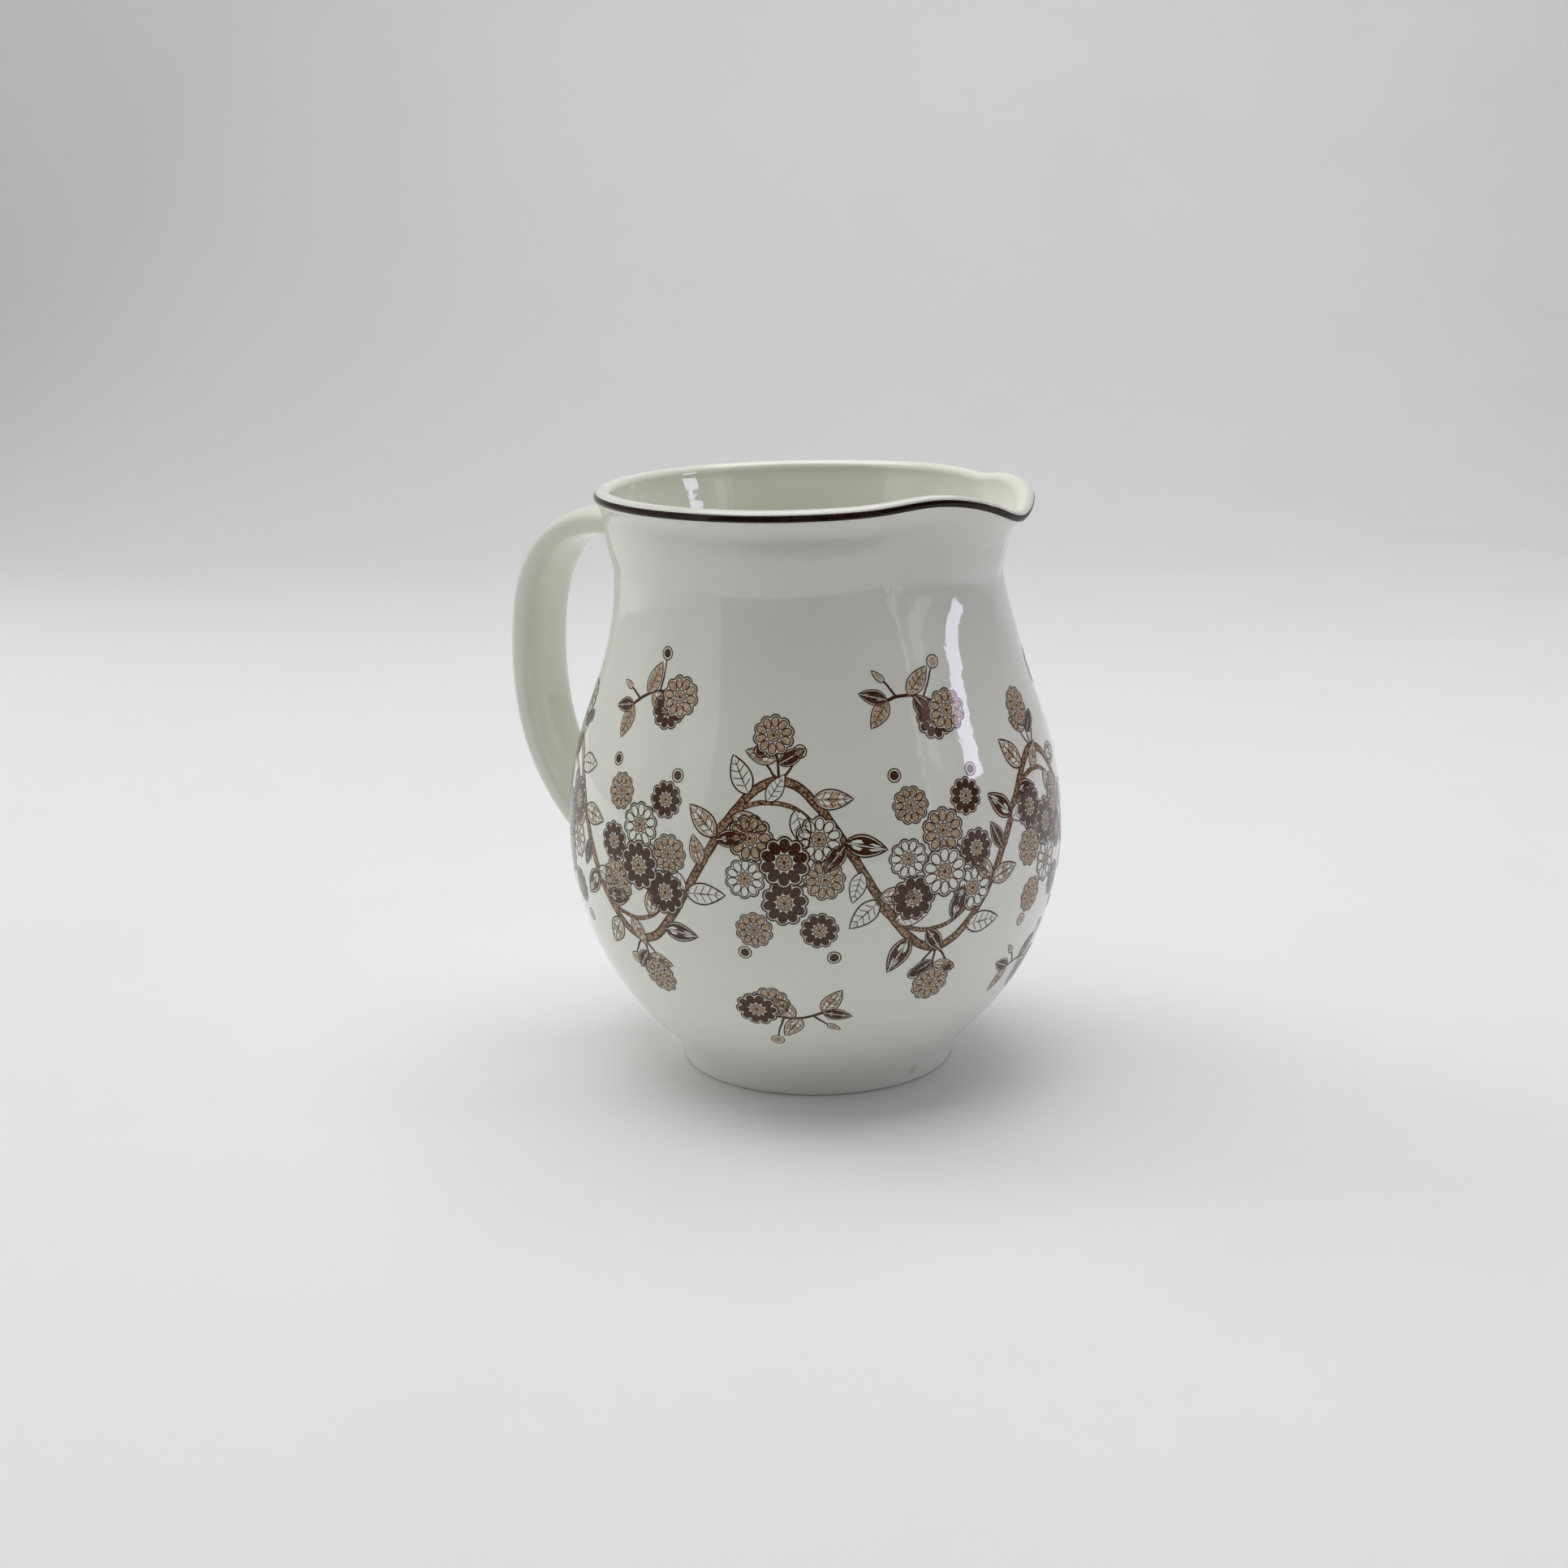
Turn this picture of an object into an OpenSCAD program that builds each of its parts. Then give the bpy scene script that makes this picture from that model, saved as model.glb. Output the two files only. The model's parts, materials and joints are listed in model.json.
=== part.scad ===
// A slip-cast pouring jug: a round body with a pinched lip, a strap handle that is
// luted on with slip at the neck and at the belly, and a painted line along the rim.
// The foot's centre on the table is the origin, the lip points to +X, the handle to -X.

/* [Body] */
// Height of the jug at the back of the rim
jug_h = 160; // [150:1:176]
// Greatest outer radius, at the belly
belly_r = 67.8; // [62:0.1:74]
// Height of that greatest radius
belly_h = 66; // [60:1:72]
// Smallest outer radius, at the neck
neck_r = 53.8; // [50:0.1:57]
// Height of the narrowest place of the neck
neck_h = 133; // [126:1:136]
// Thickness of the fired wall
wall = 4.4; // [3:0.1:5.6]
// Thickness of the floor inside the foot
floor_t = 5; // [4:0.1:6.4]

/* [Foot] */
// Outer radius of the foot ring where it stands
foot_r = 37.7; // [35:0.1:39]
// Outer radius of the foot ring where the belly starts
foot_top_r = 39; // [38:0.1:41]
// Height at which the belly starts
foot_h = 7.1; // [6:0.1:9]
// Width of the ring that stands on the table
foot_ring_w = 5.4; // [4:0.1:8]
// Depth of the hollow under the floor
foot_recess = 3.2; // [2:0.1:4]
// Rounding of the foot ring's edges
foot_edge = 0.8; // [0.4:0.1:1.2]

/* [Rim and pouring lip] */
// Radius at which the middle of the rolled rim runs
rim_r = 55.8; // [52:0.1:58]
// Half the thickness of the rolled rim
rim_round = 2.3; // [1.9:0.1:2.7]
// Outer radius of the neck just under the rolled rim
collar_r = 56; // [53:0.1:57.5]
// How far under the top the neck meets the rolled rim
collar_drop = 7; // [6:0.1:9]
// How far the rim is pinched in at each side of the lip
pinch_d = 5.4; // [3:0.1:7]
// How far the throat under the rim is pinched in there
throat_d = 5.6; // [3:0.1:8]
// How far under the top the throat is pinched most
throat_drop = 12; // [10:0.5:16]
// How far the tip of the lip is drawn out
tip_reach = 3.3; // [1:0.1:6]
// How far the rim dips at the tip
tip_dip = 4.5; // [2:0.1:6]
// How far the rim rises at each side of the tip
shoulder_rise = 1.9; // [0:0.1:3]

/* [Handle] */
// Width of the strap at its upper end
strap_w = 24; // [17:0.5:27]
// Width of the strap at its lower end
strap_end_w = 22; // [15:0.5:25]
// Thickness of the strap
strap_t = 8.4; // [6.5:0.1:9.4]
// How far the middle of the strap stands out from the jug's axis
handle_reach = 89.2; // [84:0.1:98]
// Height at which it stands out most
handle_mid_h = 107; // [102:1:112]
// How far under the top the middle of the upper end lies
upper_end_drop = 12; // [11:0.5:16]
// Height of the middle of the lower end
lower_end_h = 54.7; // [50:0.5:60]

/* [Slip joints] */
// Thickness of the slip between the strap and the body
slip_t = 0.5; // [0.3:0.1:1]
// Width of the slip fillet round the strap, at the body
fillet_w = 2.5; // [1:0.1:3]
// Distance along the strap over which the fillet runs out
fillet_run = 9; // [6:0.5:12]
// Thickness of the fillet's outer edge
fillet_edge = 0.25; // [0.2:0.05:0.5]

/* [Rim line] */
// Thickness of the painted line
paint_t = 0.15; // [0.1:0.01:0.3]

/* [Hidden] */
$fn = 96;

clay = [0.93, 0.92, 0.87];
slip = [0.88, 0.87, 0.81];
brown = [0.24, 0.13, 0.09];

// How far the neck's upper part is set into the wall under it, sideways and downward
seam_in = 0.1;
seam_down = 1;

// Where the pulls of each curve lie, as shares of its width and height
lower_belly_shares = [[0.7, 0.256], [1, 0.672]];
upper_belly_shares = [[0, 0.459], [1, 0.681]];
neck_shares = [[0, 0.222], [1, 0.596]];
inner_neck_shares = [[0, 0.41], [1, 0.84]];
upper_strap_shares = [[0.74, -0.05], [1, 0.37]];
lower_strap_shares = [[0, 0.49], [0.4, 0.74]];

// Where the fillets start: a share of one step from the neck, and of the run from the belly
lead_share = 0.3;
slant_share = 0.6;

// Powers of the strap's section, from 1 for an ellipse down to 0 for a rectangle
outer_power = 0.8;
inner_power = 0.62;

// Round the rim, counted from the tip of the lip
pinch_angle = 46;
throat_angle = 37;
pinch_spread = 24;
tip_spread = 21;
shoulder_angle = 27;
shoulder_spread = 14;
dip_spread = 12;

// Round the section of the rolled rim, counted from straight outward
rim_start = -50;
line_start = -14;
line_end = 33;
rim_end = 180;

rim_h = jug_h - rim_round;
collar_h = jug_h - collar_drop;
throat_h = jug_h - throat_drop;
upper_end_h = jug_h - upper_end_drop;
floor_h = foot_recess + floor_t;
root_depth = 1.5 * strap_t;

// Steps of the curves, and the degrees between two columns of the rim
belly_steps = 18;
neck_steps = 7;
edge_steps = 5;
under_steps = 2;
line_steps = 4;
over_steps = 8;
strap_steps = 32;
section_steps = 26;
fillet_steps = 7;
lip_side = 80;
lip_step = 2.5;
back_step = 5;

function mix(p, q, share) = [p.x + (q.x - p.x) * share.x, p.y + (q.y - p.y) * share.y];

function bezier(p, a, b, q, t) =
    p * pow(1 - t, 3) + 3 * a * pow(1 - t, 2) * t + 3 * b * (1 - t) * pow(t, 2) + q * pow(t, 3);

function heading(p, a, b, q, t) =
    let (d = (a - p) * pow(1 - t, 2) + 2 * (b - a) * (1 - t) * t + (q - b) * pow(t, 2))
    d / norm(d);

// A curve from p to q, moved to its left by the given depth
function curve(p, q, shares, steps, depth = 0) =
    let (a = mix(p, q, shares[0]), b = mix(p, q, shares[1]))
    [for (i = [0:steps])
        let (t = i / steps, d = heading(p, a, b, q, t))
        bezier(p, a, b, q, t) + depth * [-d.y, d.x]];

// A rounded corner from p to q, pulled to the corner c
function corner(p, c, q, steps) = [for (i = [0:steps]) bezier(p, c, c, q, i / steps)];

function arc(centre, r, from, to, steps) =
    [for (i = [0:steps])
        let (a = from + (to - from) * i / steps)
        centre + r * [cos(a), sin(a)]];

function reversed(list) = [for (i = [len(list) - 1:-1:0]) list[i]];
function from_second(list) = [for (i = [1:len(list) - 1]) list[i]];

// The outside from the top of the foot ring to the neck, or the wall's inside at a depth
function belly_side(depth = 0) =
    concat(
        curve([foot_top_r, foot_h], [belly_r, belly_h], lower_belly_shares, belly_steps, depth),
        from_second(curve([belly_r, belly_h], [neck_r, neck_h], upper_belly_shares, belly_steps, depth)));

function neck_side(depth = 0) =
    curve([neck_r, neck_h], [collar_r, collar_h], neck_shares, neck_steps, depth);

// The foot ring from the hollow under the floor to the outside
function foot_outline() =
    let (ring_r = foot_r - foot_ring_w)
    concat(
        [[0, foot_recess]],
        corner([ring_r - 2 * foot_edge, foot_recess], [ring_r, foot_recess],
               [ring_r, foot_recess - 2 * foot_edge], edge_steps),
        arc([ring_r + foot_edge, foot_edge], foot_edge, 180, 270, edge_steps),
        arc([foot_r - foot_edge, foot_edge], foot_edge, 270, 360, edge_steps));

// The inside: up from the floor's centre, round its corner and up the wall
function hollow_outline() =
    let (side = [for (p = belly_side(wall)) if (p.y > floor_h + foot_edge) p],
         first = side[0],
         rise = side[1] - first,
         bend = first - rise * (first.y - floor_h) / rise.y)
    concat([[0, floor_h]], corner([2 * bend.x - first.x, floor_h], bend, first, edge_steps),
           from_second(side));

function lower_outline() =
    concat(
        foot_outline(),
        corner([foot_top_r, foot_h - 2 * foot_edge], [foot_top_r, foot_h],
               belly_side()[1], edge_steps),
        [for (i = [2:len(belly_side()) - 1]) belly_side()[i]],
        reversed(hollow_outline()));

// The section of the neck and the rolled rim: up the outside, over the top, down the inside.
// Its lower end is set into the top of the wall under it.
function upper_section() =
    let (middle = [rim_r, rim_h],
         inner_r = neck_r - wall)
    concat(
        [[neck_r - seam_in, neck_h - seam_down], [neck_r - seam_in, neck_h + seam_in]],
        from_second(neck_side()),
        arc(middle, rim_round, rim_start, line_start, under_steps),
        from_second(arc(middle, rim_round, line_start, line_end, line_steps)),
        from_second(arc(middle, rim_round, line_end, rim_end, over_steps)),
        from_second(reversed(from_second(
            curve([inner_r, neck_h], [rim_r - rim_round, rim_h], inner_neck_shares, neck_steps)))),
        [[inner_r + seam_in, neck_h + seam_in], [inner_r + seam_in, neck_h - seam_down]]);

// How the pinched lip moves the neck and rim, from nothing at the neck to all at the rim
function bump(a, middle, spread) = exp(-pow((a - middle) / spread, 2));
function plateau(a, spread) = exp(-pow(a / spread, 4));
function level(h, from, to) = max(0, min(1, (h - from) / (to - from)));
function eased(t) = t * t * (3 - 2 * t);

function lip_out(a, h) =
    let (up = level(h, throat_h, rim_h),
         middle = throat_angle + (pinch_angle - throat_angle) * up,
         depth = throat_d + (pinch_d - throat_d) * up)
    tip_reach * plateau(a, tip_spread) * pow(up, 1.5)
    - depth * bump(a, middle, pinch_spread) * eased(level(h, neck_h, throat_h));

function lip_up(a, h) =
    (shoulder_rise * bump(a, shoulder_angle, shoulder_spread) - tip_dip * bump(a, 0, dip_spread))
    * level(h, neck_h, rim_h);

function on_lip(p, turn) =
    let (a = abs(turn),
         r = p.x + lip_out(a, p.y))
    [r * cos(turn), r * sin(turn), p.y + lip_up(a, p.y)];

// Columns round the rim, closer together round the lip
columns = concat(
    [for (a = [-180:back_step:-lip_side - back_step]) a],
    [for (a = [-lip_side:lip_step:lip_side]) a],
    [for (a = [lip_side + back_step:back_step:180 - back_step]) a]);

// A ring whose section is carried round the rim
module carried_round(section) {
    n = len(section);
    m = len(columns);
    polyhedron(
        points = [for (a = columns) for (p = section) on_lip(p, a)],
        faces = [for (i = [0:m - 1]) for (j = [0:n - 1])
            let (i2 = (i + 1) % m, j2 = (j + 1) % n)
            each [[i * n + j, i * n + j2, i2 * n + j2], [i * n + j, i2 * n + j2, i2 * n + j]]]);
}

// The solid that the body's outside encloses, grown by the given thickness
module outer_form(grown) {
    side = concat(belly_side(-grown), from_second(neck_side(-grown)),
                  arc([rim_r, rim_h], rim_round + grown, rim_start, 90, edge_steps));
    rotate_extrude()
        polygon(concat([[0, side[0].y]], side, [[0, side[len(side) - 1].y]]));
}

// The strap's middle line leaves the neck at u = 0, is widest at u = 1 and meets the
// belly at u = 2. Past both ends it runs straight on into the body.
outer_side = [for (p = concat(belly_side(), from_second(neck_side()))) [p.y, p.x]];
upper_end = [lookup(upper_end_h, outer_side), upper_end_h];
widest = [handle_reach, handle_mid_h];
lower_end = [lookup(lower_end_h, outer_side), lower_end_h];

function pulls(p, q, shares) = [p, mix(p, q, shares[0]), mix(p, q, shares[1]), q];
upper_pulls = pulls(upper_end, widest, upper_strap_shares);
lower_pulls = pulls(widest, lower_end, lower_strap_shares);

function strap_heading(u) =
    u < 1 ? let (s = upper_pulls) heading(s[0], s[1], s[2], s[3], max(0, u))
          : let (s = lower_pulls) heading(s[0], s[1], s[2], s[3], min(2, u) - 1);
function strap_point(u) =
    u < 0 ? upper_end + u * root_depth * strap_heading(0) :
    u > 2 ? lower_end + (u - 2) * root_depth * strap_heading(2) :
    u < 1 ? let (s = upper_pulls) bezier(s[0], s[1], s[2], s[3], u)
          : let (s = lower_pulls) bezier(s[0], s[1], s[2], s[3], u - 1);

// The strap's section: rounder outside, flatter on the side that the fingers touch
function power(x, e) = sign(x) * pow(abs(x), e);
function strap_section(w, t) =
    [for (i = [0:section_steps - 1])
        let (a = 360 * i / section_steps, e = sin(a) > 0 ? outer_power : inner_power)
        [w / 2 * power(cos(a), e), t / 2 * power(sin(a), e)]];

// A tube along the strap's line through the places u, thicker all round by extra
module strap_run(places, extra) {
    n = section_steps;
    rings = len(places) - 1;
    points = [for (k = [0:rings])
        let (u = places[k],
             d = strap_heading(u),
             w = strap_w + (strap_end_w - strap_w) * level(u, 0, 2))
        for (s = strap_section(w + 2 * extra[k], strap_t + 2 * extra[k]))
            let (p = strap_point(u) + s.y * [-d.y, d.x])
            [-p.x, s.x, p.y]];
    polyhedron(
        points = points,
        faces = concat(
            [[for (j = [n - 1:-1:0]) j]],
            [for (k = [0:rings - 1]) for (j = [0:n - 1])
                let (j2 = (j + 1) % n)
                each [[k * n + j, (k + 1) * n + j2, (k + 1) * n + j],
                      [k * n + j, k * n + j2, (k + 1) * n + j2]]],
            [[for (j = [0:n - 1]) rings * n + j]]));
}

// The fillet's thickness at step k, from full at the body to its edge on the strap
function run_out(k) = fillet_edge + fillet_w * pow(1 - k / fillet_steps, 2);

// The slip between one end of the strap and the body, with its fillet round the strap
module joint(places, extra) {
    color(slip)
    difference() {
        strap_run(places, extra);
        outer_form(0);
        handle();
    }
}

module upper_joint() {
    span = fillet_run / norm(upper_pulls[1] - upper_pulls[0]) / 3;
    steps = [for (k = [0:fillet_steps]) k];
    joint(concat([-1], [for (k = steps) span * (k + lead_share) / fillet_steps]),
          concat([run_out(0)], [for (k = steps) run_out(k)]));
}

// The strap meets the belly at a slant, so this fillet starts earlier
module lower_joint() {
    span = fillet_run / norm(lower_pulls[3] - lower_pulls[2]) / 3;
    steps = [for (k = [fillet_steps:-1:0]) k];
    joint(concat([for (k = steps) 2 - span * (k / fillet_steps + slant_share)], [3]),
          concat([for (k = steps) run_out(k)], [run_out(0)]));
}

module body() {
    color(clay) {
        rotate_extrude() polygon(lower_outline());
        carried_round(upper_section());
    }
}

module handle() {
    places = concat([-1], [for (k = [0:2 * strap_steps]) k / strap_steps], [3]);
    color(clay)
    difference() {
        strap_run(places, [for (u = places) 0]);
        outer_form(slip_t);
    }
}

// The line's inner side lies on the rolled rim, column for column
module rim_line() {
    middle = [rim_r, rim_h];
    color(brown)
    carried_round(concat(
        arc(middle, rim_round + paint_t, line_start, line_end, line_steps),
        arc(middle, rim_round, line_end, line_start, line_steps)));
}

body();
handle();
upper_joint();
lower_joint();
rim_line();
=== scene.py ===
# %% [markdown]
# # A slip-cast pouring jug
# The jug is one cast wall of clay with a rolled rim and a pinched lip, a strap handle that is
# set on with slip, a painted line along the rim, and a sepia print under a clear gloss glaze.
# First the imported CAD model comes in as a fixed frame. Every piece that we make goes where
# that frame says, in metres, and rides on its only body.

# %% Load the frame
import json
import math
import random

import bpy
import numpy as np
from mathutils import Matrix, Vector

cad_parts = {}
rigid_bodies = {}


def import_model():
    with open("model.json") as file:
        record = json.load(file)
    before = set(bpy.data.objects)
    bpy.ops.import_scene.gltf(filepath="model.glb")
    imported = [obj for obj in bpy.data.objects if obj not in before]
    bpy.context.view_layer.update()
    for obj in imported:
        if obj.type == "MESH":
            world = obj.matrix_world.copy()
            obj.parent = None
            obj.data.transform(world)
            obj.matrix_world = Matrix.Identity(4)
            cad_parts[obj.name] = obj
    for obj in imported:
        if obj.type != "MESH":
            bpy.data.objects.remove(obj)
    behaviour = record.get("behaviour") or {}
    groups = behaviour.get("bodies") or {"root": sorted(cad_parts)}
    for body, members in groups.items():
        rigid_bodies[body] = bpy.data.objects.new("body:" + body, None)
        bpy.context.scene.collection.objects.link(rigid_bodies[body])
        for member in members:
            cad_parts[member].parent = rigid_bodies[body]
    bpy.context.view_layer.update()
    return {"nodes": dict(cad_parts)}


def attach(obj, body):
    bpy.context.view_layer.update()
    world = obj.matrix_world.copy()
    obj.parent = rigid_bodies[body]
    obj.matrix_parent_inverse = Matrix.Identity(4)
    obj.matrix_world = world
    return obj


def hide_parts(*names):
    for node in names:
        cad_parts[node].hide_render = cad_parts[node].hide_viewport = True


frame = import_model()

print("nodes:", sorted(frame["nodes"]))

# %% [markdown]
# ## The jug's sizes
# These are the sizes of the drawing, in millimetres, as a potter would note them. The outside
# of the wall is three pulled curves, two for the belly and one for the neck, and a round roll
# for the rim. A pull is a share of the curve's width and height, so that a curve keeps its
# character when its ends move. The edge of the table, mirrored in the neck, shows where the
# neck is narrowest, so that place is set here from the mirror image; the line stays within
# half a millimetre of the drawing. The outer line is drawn a tenth of a millimetre inside the
# measured size, which leaves room for the films of the print.

# %% Sizes from the drawing
MM = 0.001

jug_h, belly_r, belly_h = 160.0, 67.8, 66.0
neck_r, neck_h = 53.73, 137.5
wall, floor_t = 4.4, 5.0
foot_r, foot_top_r, foot_h = 37.7, 39.0, 7.1
foot_ring_w, foot_recess, foot_edge = 5.4, 3.2, 0.8
rim_r, rim_round = 55.8, 2.3
collar_r, collar_h = 56.0, jug_h - 7.0
rim_h, throat_h = jug_h - rim_round, jug_h - 12.0
paint_t = 0.15
film_room = 0.1

lower_belly_pulls = ((0.7, 0.256), (1, 0.672))
upper_belly_pulls = ((0, 0.46), (1, 0.583))
neck_pulls = ((0, 0.16), (1, 0.46))
inner_neck_pulls = ((0, 0.41), (1, 0.84))


def point_between(start, end, share):
    return np.array([start[0] + (end[0] - start[0]) * share[0],
                     start[1] + (end[1] - start[1]) * share[1]])


def pulled_curve(start, end, pulls, steps, depth=0.0):
    """A cubic curve in the section. A depth moves it to its left, into the wall."""
    start, end = np.array(start, float), np.array(end, float)
    first, second = (point_between(start, end, pull) for pull in pulls)
    t = np.linspace(0, 1, steps + 1)[:, None]
    points = (start * (1 - t) ** 3 + 3 * first * t * (1 - t) ** 2
              + 3 * second * t ** 2 * (1 - t) + end * t ** 3)
    run = ((first - start) * (1 - t) ** 2 + 2 * (second - first) * t * (1 - t)
           + (end - second) * t ** 2)
    run /= np.linalg.norm(run, axis=1)[:, None]
    return points + depth * np.stack([-run[:, 1], run[:, 0]], axis=1)


def rounded_corner(start, corner, end, steps):
    t = np.linspace(0, 1, steps + 1)[:, None]
    start, corner, end = (np.array(p, float) for p in (start, corner, end))
    return start * (1 - t) ** 3 + corner * 3 * t * (1 - t) + end * t ** 3


def round_arc(centre, radius, start, end, steps):
    turns = np.radians(np.linspace(start, end, steps + 1))
    return np.array(centre) + radius * np.stack([np.cos(turns), np.sin(turns)], axis=1)


def straight(start, end, steps):
    t = np.linspace(0, 1, steps + 1)[:, None]
    return np.array(start) * (1 - t) + np.array(end) * t


def joined(*runs):
    """Runs of points one after the other, without the doubled ones between them."""
    points = np.vstack(runs)
    keep = np.linalg.norm(np.diff(points, axis=0), axis=1) > 1e-4
    return points[np.concatenate([[True], keep])]


def belly_side(depth=0.0, steps=56):
    return joined(
        pulled_curve((foot_top_r, foot_h), (belly_r, belly_h), lower_belly_pulls, steps, depth),
        pulled_curve((belly_r, belly_h), (neck_r, neck_h), upper_belly_pulls, steps, depth))


outer_side = joined(belly_side(film_room),
                    pulled_curve((neck_r, neck_h), (collar_r, collar_h), neck_pulls, 16,
                                 film_room))
print("outer side of the wall:", len(outer_side), "points, length",
      round(float(np.linalg.norm(np.diff(outer_side, axis=0), axis=1).sum()), 1), "mm")

# %% [markdown]
# ## The whole section
# A potter would cut the jug in half to see this line. It starts at the middle of the hollow
# under the foot, goes round the foot ring, up the outside, over the rolled rim, down the
# inside and along the floor, back to the axis. Glaze runs into the corner above the foot ring,
# so that corner is a soft cove. Both ends lie on the axis, so the turned form closes there in
# a single point.

# %% Draw the section
floor_h, floor_corner = foot_recess + floor_t, 1.6
ring_r, recess_corner = foot_r - foot_ring_w, 1.6
cove_start, cove_r, cove_rise = np.array([38.1, 2.4]), 38.5, 6.0


def foot_line():
    return joined(
        straight((0, foot_recess), (ring_r - recess_corner, foot_recess), 14),
        rounded_corner((ring_r - recess_corner, foot_recess), (ring_r, foot_recess),
                       (ring_r, foot_recess - recess_corner), 6),
        round_arc((ring_r + foot_edge, foot_edge), foot_edge, 180, 270, 6),
        straight((ring_r + foot_edge, 0), (foot_r - foot_edge, 0), 4),
        round_arc((foot_r - foot_edge, foot_edge), foot_edge, 270, 360, 8),
        straight((foot_r, foot_edge), cove_start, 4))


def inner_line():
    side = belly_side(wall, 40)
    side = side[side[:, 1] > floor_h + floor_corner]
    first = side[0]
    rise = side[1] - first
    bend = first - rise * (first[1] - floor_h) / rise[1]
    inside = (2 * bend[0] - first[0], floor_h)
    neck = pulled_curve((neck_r - wall, neck_h), (rim_r - rim_round, rim_h),
                        inner_neck_pulls, 16)
    return joined(neck[::-1], side[::-1], rounded_corner(first, bend, inside, 8),
                  straight(inside, (0, floor_h), 16))


rolled_rim = round_arc((rim_r, rim_h), rim_round, -50, 180, 34)
above_cove = outer_side[outer_side[:, 1] > foot_h + cove_rise]
cove_end, lean = above_cove[0], above_cove[1] - above_cove[0]
cove_corner = cove_end - lean * (cove_end[0] - cove_r) / lean[0]
t = np.linspace(0, 1, 15)[:, None]
cove = cove_start * (1 - t) ** 2 + 2 * cove_corner * t * (1 - t) + cove_end * t ** 2
section = joined(foot_line(), cove, above_cove, rolled_rim, inner_line())
print("section:", len(section), "points from axis to axis")

# %% [markdown]
# ## Arithmetic in a node tree
# Geometry Nodes and shaders both work sums out with Math nodes. Wiring each by hand hides the
# formula, so a small class stands for one number in a tree: adding or multiplying two of them
# places the node that does it, and the formula reads as it would on paper.

# %% A number in a node tree
class Number:
    def __init__(self, tree, socket):
        self.tree, self.socket = tree, socket

    def by(self, operation, *others):
        node = self.tree.nodes.new("ShaderNodeMath")
        node.operation = operation
        for slot, item in zip(node.inputs, (self,) + others):
            feed(self.tree, slot, item)
        return Number(self.tree, node.outputs[0])

    def __add__(self, other): return self.by("ADD", other)
    def __sub__(self, other): return self.by("SUBTRACT", other)
    def __mul__(self, other): return self.by("MULTIPLY", other)
    def __truediv__(self, other): return self.by("DIVIDE", other)
    def __pow__(self, other): return self.by("POWER", other)
    def __neg__(self): return self.by("MULTIPLY", -1.0)
    def __rsub__(self, other): return (-self).by("ADD", other)

    def limited(self): return self.by("MAXIMUM", 0.0).by("MINIMUM", 1.0)


def feed(tree, slot, item):
    """Links a number or socket to a slot, or writes a plain value into it."""
    if isinstance(item, Number):
        item = item.socket
    if isinstance(item, bpy.types.NodeSocket):
        tree.links.new(item, slot)
    else:
        slot.default_value = item


def add_node(tree, kind, settings=(), **inputs):
    """A node with some settings; inputs are named as their sockets, with _ for a space."""
    node = tree.nodes.new(kind)
    for name, value in dict(settings).items():
        setattr(node, name, value)
    for name, item in inputs.items():
        feed(tree, node.inputs[name.replace("_", " ")], item)
    return node


def parts_of(tree, vector):
    """The three parts of a vector, as numbers."""
    node = add_node(tree, "ShaderNodeSeparateXYZ", Vector=vector)
    return [Number(tree, part) for part in node.outputs]


def stored(tree, name, sort="FLOAT"):
    """A value that was stored on the points, by its name."""
    return add_node(tree, "GeometryNodeInputNamedAttribute", {"data_type": sort},
                    Name=name).outputs["Attribute"]


print("math nodes ready")

# %% [markdown]
# ## A tree with named sizes
# A node tree is easier to learn from when its sizes have names, as a machine's dials do. The
# helper makes a tree with one input for each size. A modifier stores its settings under each
# input's identifier, so the second helper looks that up, then turns what the tree made into a
# plain mesh, because only plain meshes ride on a body.

# %% Build, run and settle a tree
SOCKETS = {"object": "NodeSocketObject", "collection": "NodeSocketCollection",
           "material": "NodeSocketMaterial", "count": "NodeSocketInt", "size": "NodeSocketFloat"}


def new_tree(title, **dials):
    """A tree with a geometry in and out, and its dials as Number or plain sockets by name."""
    tree = bpy.data.node_groups.new(title, "GeometryNodeTree")
    tree.interface.new_socket("Geometry", in_out="INPUT", socket_type="NodeSocketGeometry")
    tree.interface.new_socket("Geometry", in_out="OUTPUT", socket_type="NodeSocketGeometry")
    for name, kind in dials.items():
        tree.interface.new_socket(name.replace("_", " "), in_out="INPUT",
                                  socket_type=SOCKETS[kind])
    entry = tree.nodes.new("NodeGroupInput")
    leave = tree.nodes.new("NodeGroupOutput")
    given = {}
    for name, kind in dials.items():
        socket = entry.outputs[name.replace("_", " ")]
        given[name] = Number(tree, socket) if kind in ("count", "size") else socket
    return tree, entry.outputs["Geometry"], leave.inputs["Geometry"], given


def finish_tree(tree, geometry, leave, material):
    """Every tree ends in real geometry, smooth, with its material on it."""
    real = add_node(tree, "GeometryNodeRealizeInstances", Geometry=geometry)
    smooth = add_node(tree, "GeometryNodeSetShadeSmooth", Geometry=real.outputs[0])
    painted = add_node(tree, "GeometryNodeSetMaterial", Geometry=smooth.outputs[0],
                       Material=material)
    tree.links.new(painted.outputs[0], leave)


def mesh_object(name, points, edges=(), faces=(), material=None, smooth=False):
    """A mesh of the given points in metres, as an object in the scene."""
    mesh = bpy.data.meshes.new(name)
    mesh.from_pydata(points, edges, faces)
    if smooth:
        mesh.polygons.foreach_set("use_smooth", [True] * len(faces))
    if material:
        mesh.materials.append(material)
    piece = bpy.data.objects.new(name, mesh)
    bpy.context.scene.collection.objects.link(piece)
    return piece


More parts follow.
